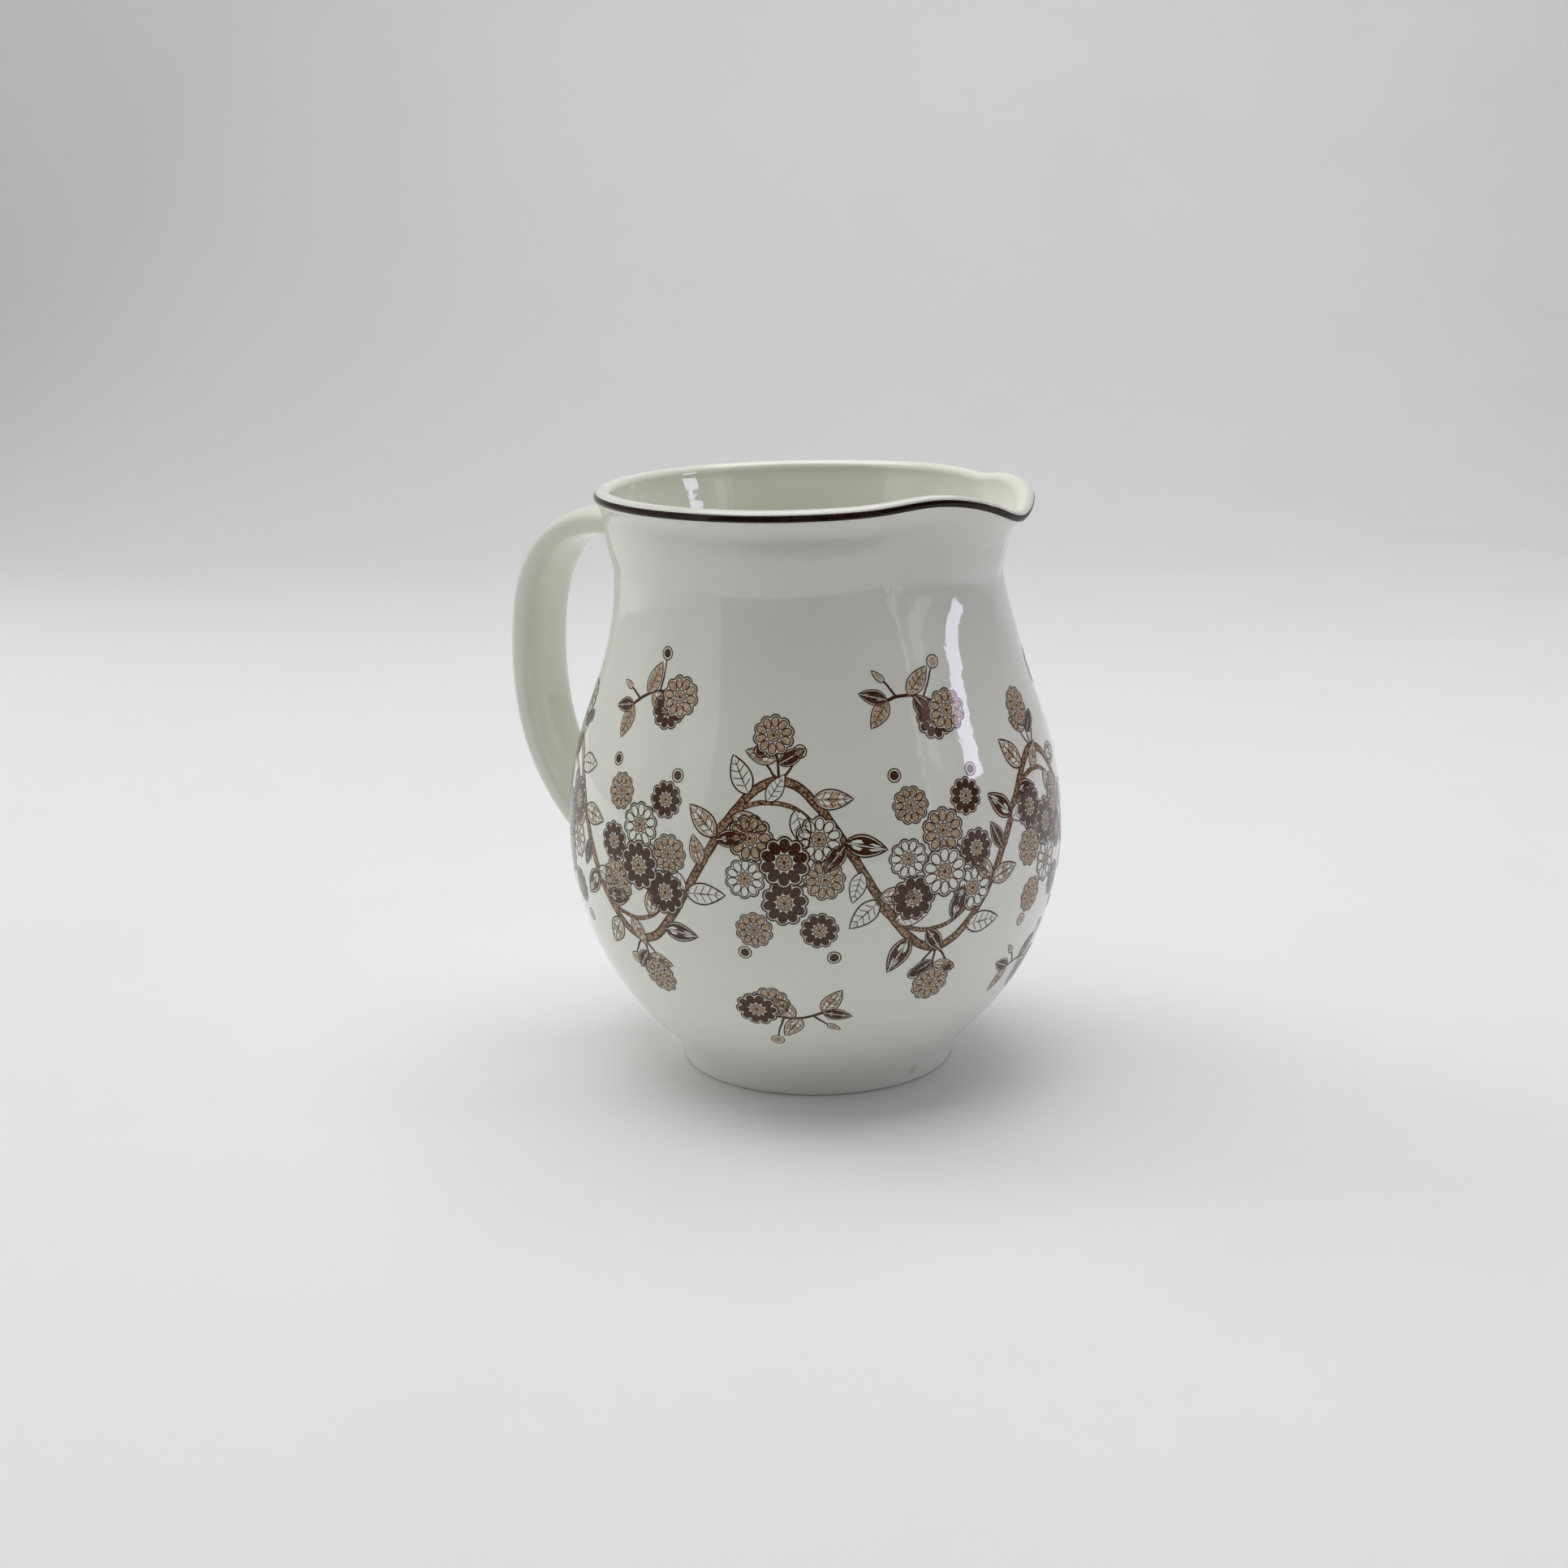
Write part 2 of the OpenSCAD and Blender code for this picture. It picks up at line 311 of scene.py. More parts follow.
def line_object(name, points):
    """A polyline in the section's plane, drawn in millimetres, for a tree to read."""
    return mesh_object(name, [(r * MM, 0.0, h * MM) for r, h in points],
                       [(i, i + 1) for i in range(len(points) - 1)])


def run_tree(piece, tree, **settings):
    """Runs the tree on the piece and keeps the result as the piece's own mesh."""
    modifier = piece.modifiers.new(tree.name, "NODES")
    modifier.node_group = tree
    names = {item.name: item.identifier for item in tree.interface.items_tree
             if item.item_type == "SOCKET" and item.in_out == "INPUT"}
    for name, value in settings.items():
        modifier[names[name.replace("_", " ")]] = value
    piece.update_tag()
    bpy.context.view_layer.update()
    made = piece.evaluated_get(bpy.context.evaluated_depsgraph_get())
    mesh = bpy.data.meshes.new_from_object(made)
    piece.modifiers.clear()
    old, piece.data = piece.data, mesh
    bpy.data.meshes.remove(old)
    mesh.name = piece.name
    print(piece.name + ":", len(mesh.vertices), "vertices,", len(mesh.polygons), "faces")
    return piece


# %% [markdown]
# ## Turning the section and pinching the lip
# A jug is thrown or cast round, and its lip is then pulled from the wet wall between finger
# and thumb. The tree does the same. A grid has one column for each step round the axis and
# one row for each point of the section. Every grid point is moved to its place on the round
# form, and near the rim the pull of the lip is added: the throat is pressed in on both sides
# of the tip, the tip is drawn out and down, and the rim rises a little at its shoulders. The
# pull grows all the way to the top of the rim, so that no crease shows inside the lip.

# %% The lip's sizes and rule
lip = dict(press_start=119.0, neck=133.0, throat=throat_h, rim=rim_h, top=jug_h,
           tip_reach=4.3, tip_dip=4.5, shoulder_rise=1.9, throat_depth=5.6, pinch_depth=5.4)
turns = dict(throat_angle=37.0, pinch_angle=46.0, pinch_spread=24.0, tip_spread=21.0,
             shoulder_angle=27.0, shoulder_spread=14.0, dip_spread=12.0)


def swell(distance, spread, power=2.0):
    """1 in the middle, and softly down to nothing beyond the spread."""
    return (-((distance / spread) ** power)).by("EXPONENT")


def lip_pull(angle, height, dial):
    """How far the lip's pull moves a point outward and upward."""
    up = ((height - dial["throat"]) / (dial["top"] - dial["throat"])).limited()
    press = ((height - dial["press_start"]) / (dial["throat"] - dial["press_start"])).limited()
    rise = ((height - dial["neck"]) / (dial["rim"] - dial["neck"])).limited()
    middle = up * (dial["pinch_angle"] - dial["throat_angle"]) + dial["throat_angle"]
    depth = up * (dial["pinch_depth"] - dial["throat_depth"]) + dial["throat_depth"]
    pressed = swell((angle - middle).by("ABSOLUTE"), dial["pinch_spread"])
    outward = (dial["tip_reach"] * swell(angle, dial["tip_spread"], 4.0) * up ** 1.5
               - depth * pressed * press * press * (3.0 - press * 2.0))
    off_shoulder = (angle - dial["shoulder_angle"]).by("ABSOLUTE")
    upward = (dial["shoulder_rise"] * swell(off_shoulder, dial["shoulder_spread"])
              - dial["tip_dip"] * swell(angle, dial["dip_spread"])) * rise
    return outward, upward


print("lip: drawn out", lip["tip_reach"], "mm, pressed in", lip["throat_depth"], "mm")

# %% Build the turning tree
weld = 0.000002
dials = {name: "size" for name in (*lip, *turns)}
tree, source, leave, dial = new_tree("Turn the section and pinch the lip", columns="count",
                                     glaze="material", **dials)
rows = add_node(tree, "GeometryNodeAttributeDomainSize", Geometry=source).outputs["Point Count"]
index = tree.nodes.new("GeometryNodeInputIndex").outputs[0]
column = add_node(tree, "FunctionNodeIntegerMath", {"operation": "DIVIDE_FLOOR"})
row = add_node(tree, "FunctionNodeIntegerMath", {"operation": "MODULO"})
for node in (column, row):
    tree.links.new(index, node.inputs[0])
    tree.links.new(rows, node.inputs[1])
grid = add_node(tree, "GeometryNodeMeshGrid", Vertices_Y=rows, Vertices_X=dial["columns"] + 1.0)
drawn = add_node(tree, "GeometryNodeSampleIndex",
                 {"data_type": "FLOAT_VECTOR", "domain": "POINT"}, Geometry=source,
                 Value=tree.nodes.new("GeometryNodeInputPosition").outputs[0],
                 Index=row.outputs[0])
radius, _, height = parts_of(tree, drawn.outputs[0])
turn = Number(tree, column.outputs[0]) / dial["columns"] * (2 * math.pi) - math.pi
outward, upward = lip_pull(turn.by("ABSOLUTE") * (180 / math.pi), height, dial)
radius = radius + outward
place = add_node(tree, "ShaderNodeCombineXYZ", X=radius * turn.by("COSINE"),
                 Y=radius * turn.by("SINE"), Z=height + upward)
turned = add_node(tree, "GeometryNodeSetPosition", Geometry=grid.outputs["Mesh"],
                  Position=place.outputs[0])
merged = add_node(tree, "GeometryNodeMergeByDistance", Geometry=turned.outputs[0],
                  Distance=weld)
finish_tree(tree, merged.outputs[0], leave, dial["glaze"])
turn_tree = tree
print("turning tree:", len(tree.nodes), "nodes")

# %% [markdown]
# ## The gloss glaze
# Ware of this kind is off-white, a little green-grey, and it mirrors its surroundings
# sharply. The glaze is never quite flat: it ran while it was hot, so long edges in the mirror
# image waver. Three noises give that through the bump, from slow to fine. Up the wall the
# colour turns greyer and darker: painted shade, since less light bounces up from the floor
# there. The inside stays lighter and creamier: partly the glaze's own tint, partly painted
# light. The ring that stands on the table is wiped free of glaze, so it is dull and buff, and
# one drip near it has stained yellow.

# %% Material tools
def new_material(name):
    material = bpy.data.materials.new(name)
    material.use_nodes = True
    nodes = material.node_tree.nodes
    return material, material.node_tree, nodes["Principled BSDF"]


def own_place(tree):
    """The place on the piece, in metres, to which a pattern is tied."""
    return tree.nodes.new("ShaderNodeTexCoord").outputs["Object"]


def noise(tree, scale, detail=2.0, rough=0.5):
    """A noise pattern in Object coordinates, as a number about a half."""
    node = add_node(tree, "ShaderNodeTexNoise", Vector=own_place(tree), Scale=scale,
                    Detail=detail, Roughness=rough)
    return Number(tree, node.outputs["Fac"])


def blend_colours(tree, share, first, second):
    node = add_node(tree, "ShaderNodeMix", {"data_type": "RGBA"})
    for slot, item in ((node.inputs[0], share), (node.inputs[6], first), (node.inputs[7], second)):
        feed(tree, slot, item)
    return node.outputs[2]


def bump(tree, shader, height):
    node = add_node(tree, "ShaderNodeBump", Height=height, Distance=bump_depth, Strength=1.0)
    tree.links.new(node.outputs["Normal"], shader.inputs["Normal"])


def gloss(shader, roughness, mirror, ior=1.5):
    """How sharp and how strong the mirror image in a finish is."""
    shader.inputs["Roughness"].default_value = roughness
    shader.inputs["Specular IOR Level"].default_value = mirror
    shader.inputs["IOR"].default_value = ior


def waver(tree):
    """The unevenness of the glaze, as a height: slow runs, middling ones and a fine fray."""
    slow, middling, fine = (noise(tree, scale, 1.0) * share for scale, share in waves)
    return slow + middling + fine


bump_depth, waves = 0.0006, ((34.0, 0.6), (115.0, 0.11), (480.0, 0.045))
print("material tools ready; bump distance", bump_depth / MM, "mm")

# %% [markdown]
# The wall alone has a creamier, lighter inside, a stain and a wiped ring. The inside's colour
# is partly the glaze's own tint and partly painted light. A face is inside where it looks
# towards the axis. The stain is a soft ball about one place, frayed by a noise, and the bare
# ring is whatever lies in the lowest quarter of a millimetre.

# %% Glaze materials
glaze_rough, biscuit_rough, glaze_ior = 0.045, 0.545, 1.58
# Wall colours: lighter low down, greyer and darker up the wall as painted shade; the inside's
# cream is partly painted light.
glaze_lower_colour, glaze_shaded_upper_colour = (0.865, 0.865, 0.80, 1), (0.745, 0.748, 0.69, 1)
glaze_inside_cream_and_light = (0.865, 0.87, 0.765, 1)
# The handle's colours are the wall's glaze made darker: painted shade on the strap and its
# fillets.
handle_lower_shaded, handle_upper_shaded = (0.765, 0.77, 0.69, 1), (0.735, 0.742, 0.65, 1)
biscuit = (0.66, 0.58, 0.48, 1)
stain_yellow = (0.66, 0.55, 0.34, 1)
stain_place, stain_size = (0.0357, -0.0136, 0.0036), 0.0026
upward_shade_start, cloudiness = 0.15, 0.6
wiped_h, wiped_edge = 0.00025, 0.0002


def marks_on_wall(tree, shader, colour, place):
    """Adds the lighter cream inside (partly painted light), the stain and the bare ring to the
    wall's colour.
    """
    x, y, z = place
    facing = add_node(tree, "ShaderNodeVectorMath", {"operation": "DOT_PRODUCT"})
    feed(tree, facing.inputs[0], add_node(tree, "ShaderNodeCombineXYZ", X=x, Y=y).outputs[0])
    feed(tree, facing.inputs[1], tree.nodes.new("ShaderNodeNewGeometry").outputs["True Normal"])
    inside = (Number(tree, facing.outputs["Value"]) * -60.0).limited()
    # The inside is one even, lighter cream: partly its own tint, partly painted light.
    colour = blend_colours(tree, inside, colour, glaze_inside_cream_and_light)
    gap_x, gap_y, gap_z = (part - middle for part, middle in zip(place, stain_place))
    gap = (gap_x * gap_x + gap_y * gap_y + gap_z * gap_z * 3.0).by("SQRT")
    stain = (1.0 - gap / stain_size + (noise(tree, 900.0) - 0.5) * 1.6).limited()
    colour = blend_colours(tree, stain * 0.8, colour, stain_yellow)
    bare = ((wiped_h - z) / wiped_edge).limited()
    feed(tree, shader.inputs["Roughness"], bare * (biscuit_rough - glaze_rough) + glaze_rough)
    return blend_colours(tree, bare, colour, biscuit)


def gloss_glaze(name, lower_colour, shaded_upper_colour, on_wall=False):
    material, tree, shader = new_material(name)
    place = parts_of(tree, own_place(tree))
    gloss(shader, glaze_rough, 0.5, glaze_ior)
    bump(tree, shader, waver(tree))
    # The colour darkens up the wall: painted shade, with a random cloud of tone on it.
    upward_shade = place[2] / (jug_h * MM) - upward_shade_start
    cloud = (noise(tree, 18.0, 3.0) - 0.5) * cloudiness
    colour = blend_colours(tree, (upward_shade + cloud).limited(), lower_colour, shaded_upper_colour)
    if on_wall:
        colour = marks_on_wall(tree, shader, colour, place)
    feed(tree, shader.inputs["Base Color"], colour)
    return material


body_glaze = gloss_glaze("off-white gloss glaze", glaze_lower_colour, glaze_shaded_upper_colour, on_wall=True)
# A darker copy of the wall's glaze: painted shade for the handle.
shaded_handle_glaze = gloss_glaze("off-white gloss glaze on the handle", handle_lower_shaded, handle_upper_shaded)
print("glaze:", len(body_glaze.node_tree.nodes), "nodes")

# %% [markdown]
# ## The cast wall
# The section goes through the turning tree once, with enough columns that the rim shows no
# corners. The piece then stands for the CAD node, which stays in the frame for collisions.

# %% Turn the wall
columns_round = 264


def turn_piece(name, points, glaze):
    return run_tree(line_object(name, points), turn_tree, columns=columns_round, glaze=glaze,
                    **{key: value * MM for key, value in lip.items()}, **turns)


def outward_check(piece):
    """Faces should point outward: then the enclosed volume comes out positive."""
    mesh = piece.data
    volume = 0.0
    for face in mesh.polygons:
        corners = [mesh.vertices[i].co for i in face.vertices]
        for k in range(1, len(corners) - 1):
            volume += corners[0].dot(corners[k].cross(corners[k + 1])) / 6
    if volume < 0:
        mesh.flip_normals()
    print(piece.name, "encloses", round(abs(volume) * 1e6, 2), "ml",
          "(turned right side out)" if volume < 0 else "")
    return piece


jug_wall = outward_check(turn_piece("jug_wall", section, body_glaze))
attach(jug_wall, "root")
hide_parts("body")

# %% [markdown]
# ## The painted line
# A decorator holds a loaded brush to the rim while the jug turns on a wheel. The line lies on
# the outer shoulder of the rolled rim, thick in its middle and thin at both edges, and it is
# darkest where two strokes overlap. It goes through the same turning tree, so it follows the
# pinched lip without any fitting.

# %% Paint and turn the line
def brown_enamel(name):
    material, tree, shader = new_material(name)
    grain = noise(tree, 1400.0, 3.0, 0.6)
    streaks = noise(tree, 90.0, 2.0, 0.6)
    colour = blend_colours(tree, (grain * 2.0 + streaks * 2.0 - 1.9).limited(),
                           (0.012, 0.0045, 0.0025, 1), (0.055, 0.025, 0.016, 1))
    feed(tree, shader.inputs["Base Color"], colour)
    gloss(shader, 0.15, 0.3, 1.52)
    bump(tree, shader, waver(tree) + grain * 0.02)
    return material


line_enamel = brown_enamel("dark brown enamel")
line_start, line_end, line_sunk, edge_sunk = -14.0, 33.0, 0.06, 0.02
rim_middle = np.array([rim_r, rim_h])
outward = round_arc((0, 0), 1.0, line_start, line_end, 14)
swelling = np.sin(np.linspace(0, math.pi, len(outward)))[:, None] ** 0.4
over = rim_middle + outward * (rim_round - edge_sunk + (paint_t + 0.01) * swelling)
under = rim_middle + outward * (rim_round - line_sunk)
line_section = np.vstack([over, under[::-1], over[:1]])
rim_line = outward_check(turn_piece("painted_rim_line", line_section, line_enamel))
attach(rim_line, "root")
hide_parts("rim_line")

# %% [markdown]
# ## The strap handle
# The strap is a pulled or cast bar, rounder on its outside and flatter where the fingers go.
# Its middle line is two curves that meet at the widest place. For each point of its section a
# long line runs along the strap, and the place where that line meets the body tells where
# the joint lies. The strap ends just inside the wall, and never comes through it.

# %% Strap sizes and lines
strap_w, strap_end_w, strap_t = 24.0, 22.0, 8.4
outer_power, inner_power = 0.8, 0.62
side_heights, side_radii = outer_side[:, 1], outer_side[:, 0]


def body_radius(height):
    return np.interp(height, side_heights, side_radii)


upper_h, lower_h = 148.0, 54.7
upper_end = np.array([body_radius(upper_h), upper_h])
widest = np.array([89.2, 107.0])
lower_end = np.array([body_radius(lower_h), lower_h])
upper_run = (upper_end, point_between(upper_end, widest, (0.74, -0.05)),
             point_between(upper_end, widest, (1, 0.37)), widest)
lower_run = (widest, point_between(widest, lower_end, (0, 0.49)),
             point_between(widest, lower_end, (0.4, 0.74)), lower_end)
root_depth = 1.5 * strap_t


def strap_line(u):
    """Point and heading on the strap's middle line: 0 at the neck, 1 widest, 2 at the belly."""
    run, t = (upper_run, u) if u < 1 else (lower_run, u - 1)
    t = min(1.0, max(0.0, t))
    a, b, c, d = run
    point = a * (1 - t) ** 3 + 3 * b * t * (1 - t) ** 2 + 3 * c * t * t * (1 - t) + d * t ** 3
    head = (b - a) * (1 - t) ** 2 + 2 * (c - b) * t * (1 - t) + (d - c) * t * t
    head /= np.linalg.norm(head)
    beyond = min(0.0, u) + max(0.0, u - 2)
    return point + beyond * root_depth * head, head


def strap_point(u, angle, extra=0.0):
    """A point on the strap's surface, in millimetres in the jug's frame."""
    middle, head = strap_line(u)
    width = strap_w + (strap_end_w - strap_w) * min(1.0, max(0.0, u / 2))
    power = outer_power if math.sin(angle) > 0 else inner_power
    across = (width / 2 + extra) * math.copysign(abs(math.cos(angle)) ** power, math.cos(angle))
    out = (strap_t / 2 + extra) * math.copysign(abs(math.sin(angle)) ** power, math.sin(angle))
    place = middle + out * np.array([-head[1], head[0]])
    return np.array([-place[0], across, place[1]])


def height_over_body(point):
    return math.hypot(point[0], point[1]) - body_radius(point[2])


def meeting_place(angle, start, end, depth=0.0):
    """The u between start (outside) and end (inside) at which the line meets the body."""
    for _ in range(40):
        middle = (start + end) / 2
        if height_over_body(strap_point(middle, angle)) > depth:
            start = middle
        else:
            end = middle
    return (start + end) / 2


around, upper_search, lower_search = 72, (0.45, -1.0), (1.5, 3.0)
strap_angles = [2 * math.pi * (k + 0.5) / around for k in range(around)]
upper_meets = [meeting_place(a, *upper_search) for a in strap_angles]
lower_meets = [meeting_place(a, *lower_search) for a in strap_angles]
print("the strap meets the neck at u", round(min(upper_meets), 3), "to",
      round(max(upper_meets), 3), "and the belly at", round(min(lower_meets), 3), "to",
      round(max(lower_meets), 3))

# %% [markdown]
# The strap's mesh is a loft: rings of points joined by faces, with a small fan of faces at
# each hidden end. A loft is plain to write, and here each ring can lean, so that the first
# and the last follow the curve of the wall.

# %% Loft the strap
def loft(name, rings, material, close_loop=False):
    """A mesh through rings of points in millimetres, which all have the same count."""
    count = len(rings[0])
    points = [tuple(p * MM) for ring in rings for p in ring]
    faces = []
    steps = len(rings) if close_loop else len(rings) - 1
    for i in range(steps):
        near, far = i * count, ((i + 1) % len(rings)) * count
        for j in range(count):
            k = (j + 1) % count
            faces.append((near + j, far + j, far + k, near + k))
    if not close_loop:
        for ring, first, order in ((rings[0], 0, 1), (rings[-1], (len(rings) - 1) * count, -1)):
            middle = len(points)
            points.append(tuple(np.mean(ring, axis=0) * MM))
            for j in range(count):
                pair = (first + j, first + (j + 1) % count)
                faces.append((middle, *pair[::order]))
    print(name + ":", len(points), "vertices,", len(faces), "faces")
    return mesh_object(name, points, faces=faces, material=material, smooth=True)


strap_steps, strap_sunk, strap_skin = 150, 2.0, 0.03
upper_starts = [meeting_place(a, *upper_search, -strap_sunk) for a in strap_angles]
lower_stops = [meeting_place(a, *lower_search, -strap_sunk) for a in strap_angles]
strap_rings = []
for share in np.linspace(0, 1, strap_steps + 1):
    strap_rings.append(np.array([
        strap_point(first + (last - first) * share, angle, -strap_skin)
        for angle, first, last in zip(strap_angles, upper_starts, lower_stops)]))
strap = outward_check(loft("strap_handle", strap_rings, shaded_handle_glaze))
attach(strap, "root")
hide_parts("handle")

# %% [markdown]
# ## The slip that joins the strap
# The strap is scored, wetted with slip and pressed on, and the slip that squeezes out is
# wiped into a soft fillet. Seen in section the fillet is a small curve that leaves the strap
# along its surface and arrives flat on the body. It is built ring by ring from the places
# where the strap's long lines meet the body, and closed by a hidden inner corner.

# %% Wipe the slip fillets
fillet_along, fillet_aside, fillet_skin, fillet_depth = 3.2, 2.7, 0.015, 0.8
slope_step, try_step = 0.2, 0.01


def on_body(point, lift):
    reach = body_radius(point[2]) + lift
    scale = reach / math.hypot(point[0], point[1])
    return np.array([point[0] * scale, point[1] * scale, point[2]])


def body_normal(point):
    slope = (body_radius(point[2] + slope_step)
             - body_radius(point[2] - slope_step)) / (2 * slope_step)
    flat = np.array([point[0], point[1], 0.0])
    flat /= np.linalg.norm(flat)
    normal = flat + np.array([0, 0, -slope])
    return normal / np.linalg.norm(normal)


def fillet_rings(meets, step_out, steps=9):
    corners = [strap_point(u, a) for u, a in zip(meets, strap_angles)]
    centre = np.mean(corners, axis=0)
    rings = []
    for j, (u, angle) in enumerate(zip(meets, strap_angles)):
        corner = corners[j]
        speed = np.linalg.norm(strap_point(u + try_step * step_out, angle) - corner) / try_step
        on_strap = strap_point(u + step_out * fillet_along / speed, angle, -fillet_skin)
        run = corners[(j + 1) % around] - corners[j - 1]
        side = np.cross(body_normal(corner), run)
        side /= np.linalg.norm(side)
        if side.dot(corner - centre) < 0:
            side = -side
        foot = on_body(corner + side * fillet_aside, -fillet_skin)
        t = np.linspace(0, 1, steps + 1)[:, None]
        curve = on_strap * (1 - t) ** 2 + 2 * corner * t * (1 - t) + foot * t ** 2
        hidden = corner - body_normal(corner) * fillet_depth
        rings.append(np.vstack([curve, hidden]))
    return rings


def slip_joint(name, node, meets, step_out):
    rings = fillet_rings(meets, step_out)
    piece = loft(name, rings, shaded_handle_glaze, close_loop=True)
    mesh = piece.data
    per_ring = len(rings[0])
    sharp = {0, per_ring - 1, per_ring - 2}
    for edge in mesh.edges:
        a, b = (v % per_ring for v in edge.vertices)
        edge.use_edge_sharp = a == b and a in sharp
    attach(outward_check(piece), "root")
    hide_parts(node)


slip_joint("upper_slip_fillet", "upper_joint", upper_meets, 1)
slip_joint("lower_slip_fillet", "lower_joint", lower_meets, -1)

# %% [markdown]
# ## The sepia print
# Jugs like this are decorated with a transfer: a drawing printed in brown enamel on thin
# paper, which is laid on the ware and washed off, so that only the colour stays. The drawing
# here is a plain trailing vine of the kind that printers of tableware have used for ages. It
# is drawn flat first, in millimetres, then laid round the belly. Each motif is made of three
# tones: bare ground that hides the stems behind it, a light tint, and the dark line.

# %% Flat drawing tools
GROUND, TINT, LINE = 0, 1, 2
FILM = {GROUND: 0.045, TINT: 0.055, LINE: 0.065}


class Motif:
    """A flat drawing in millimetres about its own origin, as faces of three tones."""
    def __init__(self):
        self.points, self.faces, self.tones = [], [], []

    def fill(self, outline, tone, rings=1):
        middle = outline.mean(axis=0)
        first, count = len(self.points), len(outline)
        for ring in range(rings):
            share = 1 - ring / rings
            self.points += [(*(middle + (p - middle) * share), FILM[tone]) for p in outline]
        self.points.append((*middle, FILM[tone]))
        for ring in range(rings):
            for j in range(count):
                k = (j + 1) % count
                a, b = first + ring * count + j, first + ring * count + k
                if ring < rings - 1:
                    self.faces.append((a, b, b + count, a + count))
                else:
                    self.faces.append((a, b, first + rings * count))
                self.tones.append(tone)

    def band(self, outline, width, tone):
        """A line of the given width along the inside of a closed outline."""
        run = np.roll(outline, -1, axis=0) - np.roll(outline, 1, axis=0)
        inward = np.stack([-run[:, 1], run[:, 0]], axis=1)
        inward /= np.linalg.norm(inward, axis=1)[:, None]
        first, count = len(self.points), len(outline)
        self.points += [(*p, FILM[tone]) for p in outline]
        self.points += [(*p, FILM[tone]) for p in outline + inward * width]
        for j in range(count):
            k = (j + 1) % count
            self.faces.append((first + j, first + k, first + count + k, first + count + j))
            self.tones.append(tone)

    def as_object(self, name):
        mesh = bpy.data.meshes.new(name)
        mesh.from_pydata([(x * MM, y * MM, z * MM) for x, y, z in self.points], [], self.faces)
        tone = mesh.attributes.new("tone", "INT", "FACE")
        tone.data.foreach_set("value", self.tones)
        return bpy.data.objects.new(name, mesh)


def oval(x, y, half_w, half_h, points=14, turn=0.0, pointed=1.0):
    """A closed outline, anticlockwise; pointed below 1 gives its far end a point."""
    t = np.linspace(0, 2 * math.pi, points, endpoint=False)
    across, along = half_w * np.cos(t), half_h * np.sin(t)
    across = across * (1 - (1 - pointed) * (along / half_h + 1) / 2)
    c, s = math.cos(turn), math.sin(turn)
    return np.stack([x + across * c - along * s, y + across * s + along * c], axis=1)


def scallop(radius, lobes, depth, points_each):
    t = np.linspace(0, 2 * math.pi, lobes * points_each, endpoint=False)
    reach = radius - depth * (1 - np.abs(np.cos(lobes * t / 2)) ** 0.75)
    return np.stack([reach * np.cos(t), reach * np.sin(t)], axis=1)


print("drawing tools ready")

# %% [markdown]
# The motifs are a daisy, a leaf with a midrib, a berry and a seed drop. The daisy and the
# leaf each come dark, tinted and open, so that the vine gets the light and shade of an
# engraving from very few drawings.

# %% Draw the motifs
bold_line, fine_line = 0.44, 0.3


def round_the_middle(count, radius):
    """The places and turns of what stands in a ring round a flower's middle."""
    return [(radius * math.cos(t), radius * math.sin(t), t)
            for t in (2 * math.pi * k / count for k in range(count))]


def daisy(tone, petals=10, radius=6.3):
    motif = Motif()
    edge = scallop(radius, petals, 0.8, 6)
    motif.fill(edge, GROUND, 3)
    motif.band(edge, bold_line, LINE)
    for x, y, t in round_the_middle(petals, 3.9):
        petal = oval(x, y, 1.12, 1.78, 12, t - math.pi / 2, 1.32)
        if tone is not None:
            motif.fill(petal, tone)
        if tone != LINE:
            motif.band(petal, 0.33, LINE)
    motif.band(oval(0, 0, 2.05, 2.05, 22), fine_line, LINE)
    motif.fill(oval(0, 0, 1.7, 1.7, 18), TINT, 2)
    for x, y, _ in round_the_middle(7, 1.15):
        motif.fill(oval(x, y, 0.24, 0.24, 6), LINE)
    motif.fill(oval(0, 0, 0.5, 0.5, 10), LINE)
    return motif


def leaf_reach(t, width):
    """Half of the leaf's width at a share t of its length."""
    return width / 2 * np.sin(math.pi * t ** 0.85) ** 0.8 * (1 - 0.15 * t)


def leaf_half(length, width, side, inset, points=8):
    """One half of a leaf from its base to its tip, and back along the midrib."""
    t = np.linspace(0.04, 0.95, points)
    reach = np.maximum(leaf_reach(t, width) - inset, 0.2)
    outer = np.stack([side * reach, t * length], axis=1)
    rib = np.stack([np.full(points, side * 0.15), t * length], axis=1)
    loop = np.vstack([outer, rib[::-1]])
    return loop if side > 0 else loop[::-1]


def leaf(tone, length=11.4, width=6.4):
    motif = Motif()
    t = np.linspace(0, 1, 11)
    half = np.stack([leaf_reach(t, width), t * length], axis=1)
    edge = np.vstack([half, (half * [-1, 1])[::-1][1:-1]])
    motif.fill(edge, GROUND, 2)
    motif.band(edge, 0.42, LINE)
    for side in (1, -1):
        if tone is not None:
            motif.fill(leaf_half(length, width, side, 0.66), tone)
        if tone != LINE:
            for vein in (0.17, 0.34, 0.51, 0.68):
                low = np.array([side * 0.12, length * (0.06 + vein)])
                high = np.array([side * 0.72 * leaf_reach(0.1 + vein, width),
                                 length * (0.16 + vein)])
                across = np.array([low[1] - high[1], high[0] - low[0]])
                across = across / np.linalg.norm(across) * 0.12
                motif.fill(np.array([low - across, high - across, high + across, low + across]),
                           LINE)
    if tone != LINE:
        motif.fill(oval(0, length * 0.46, 0.16, length * 0.42, 12), LINE)
    return motif


def pip(edge, line_w, core, tone):
    """A small round or drop-shaped thing: its ground, its edge and its core."""
    motif = Motif()
    motif.fill(edge, GROUND, 2)
    motif.band(edge, line_w, LINE)
    motif.fill(core, tone)
    return motif


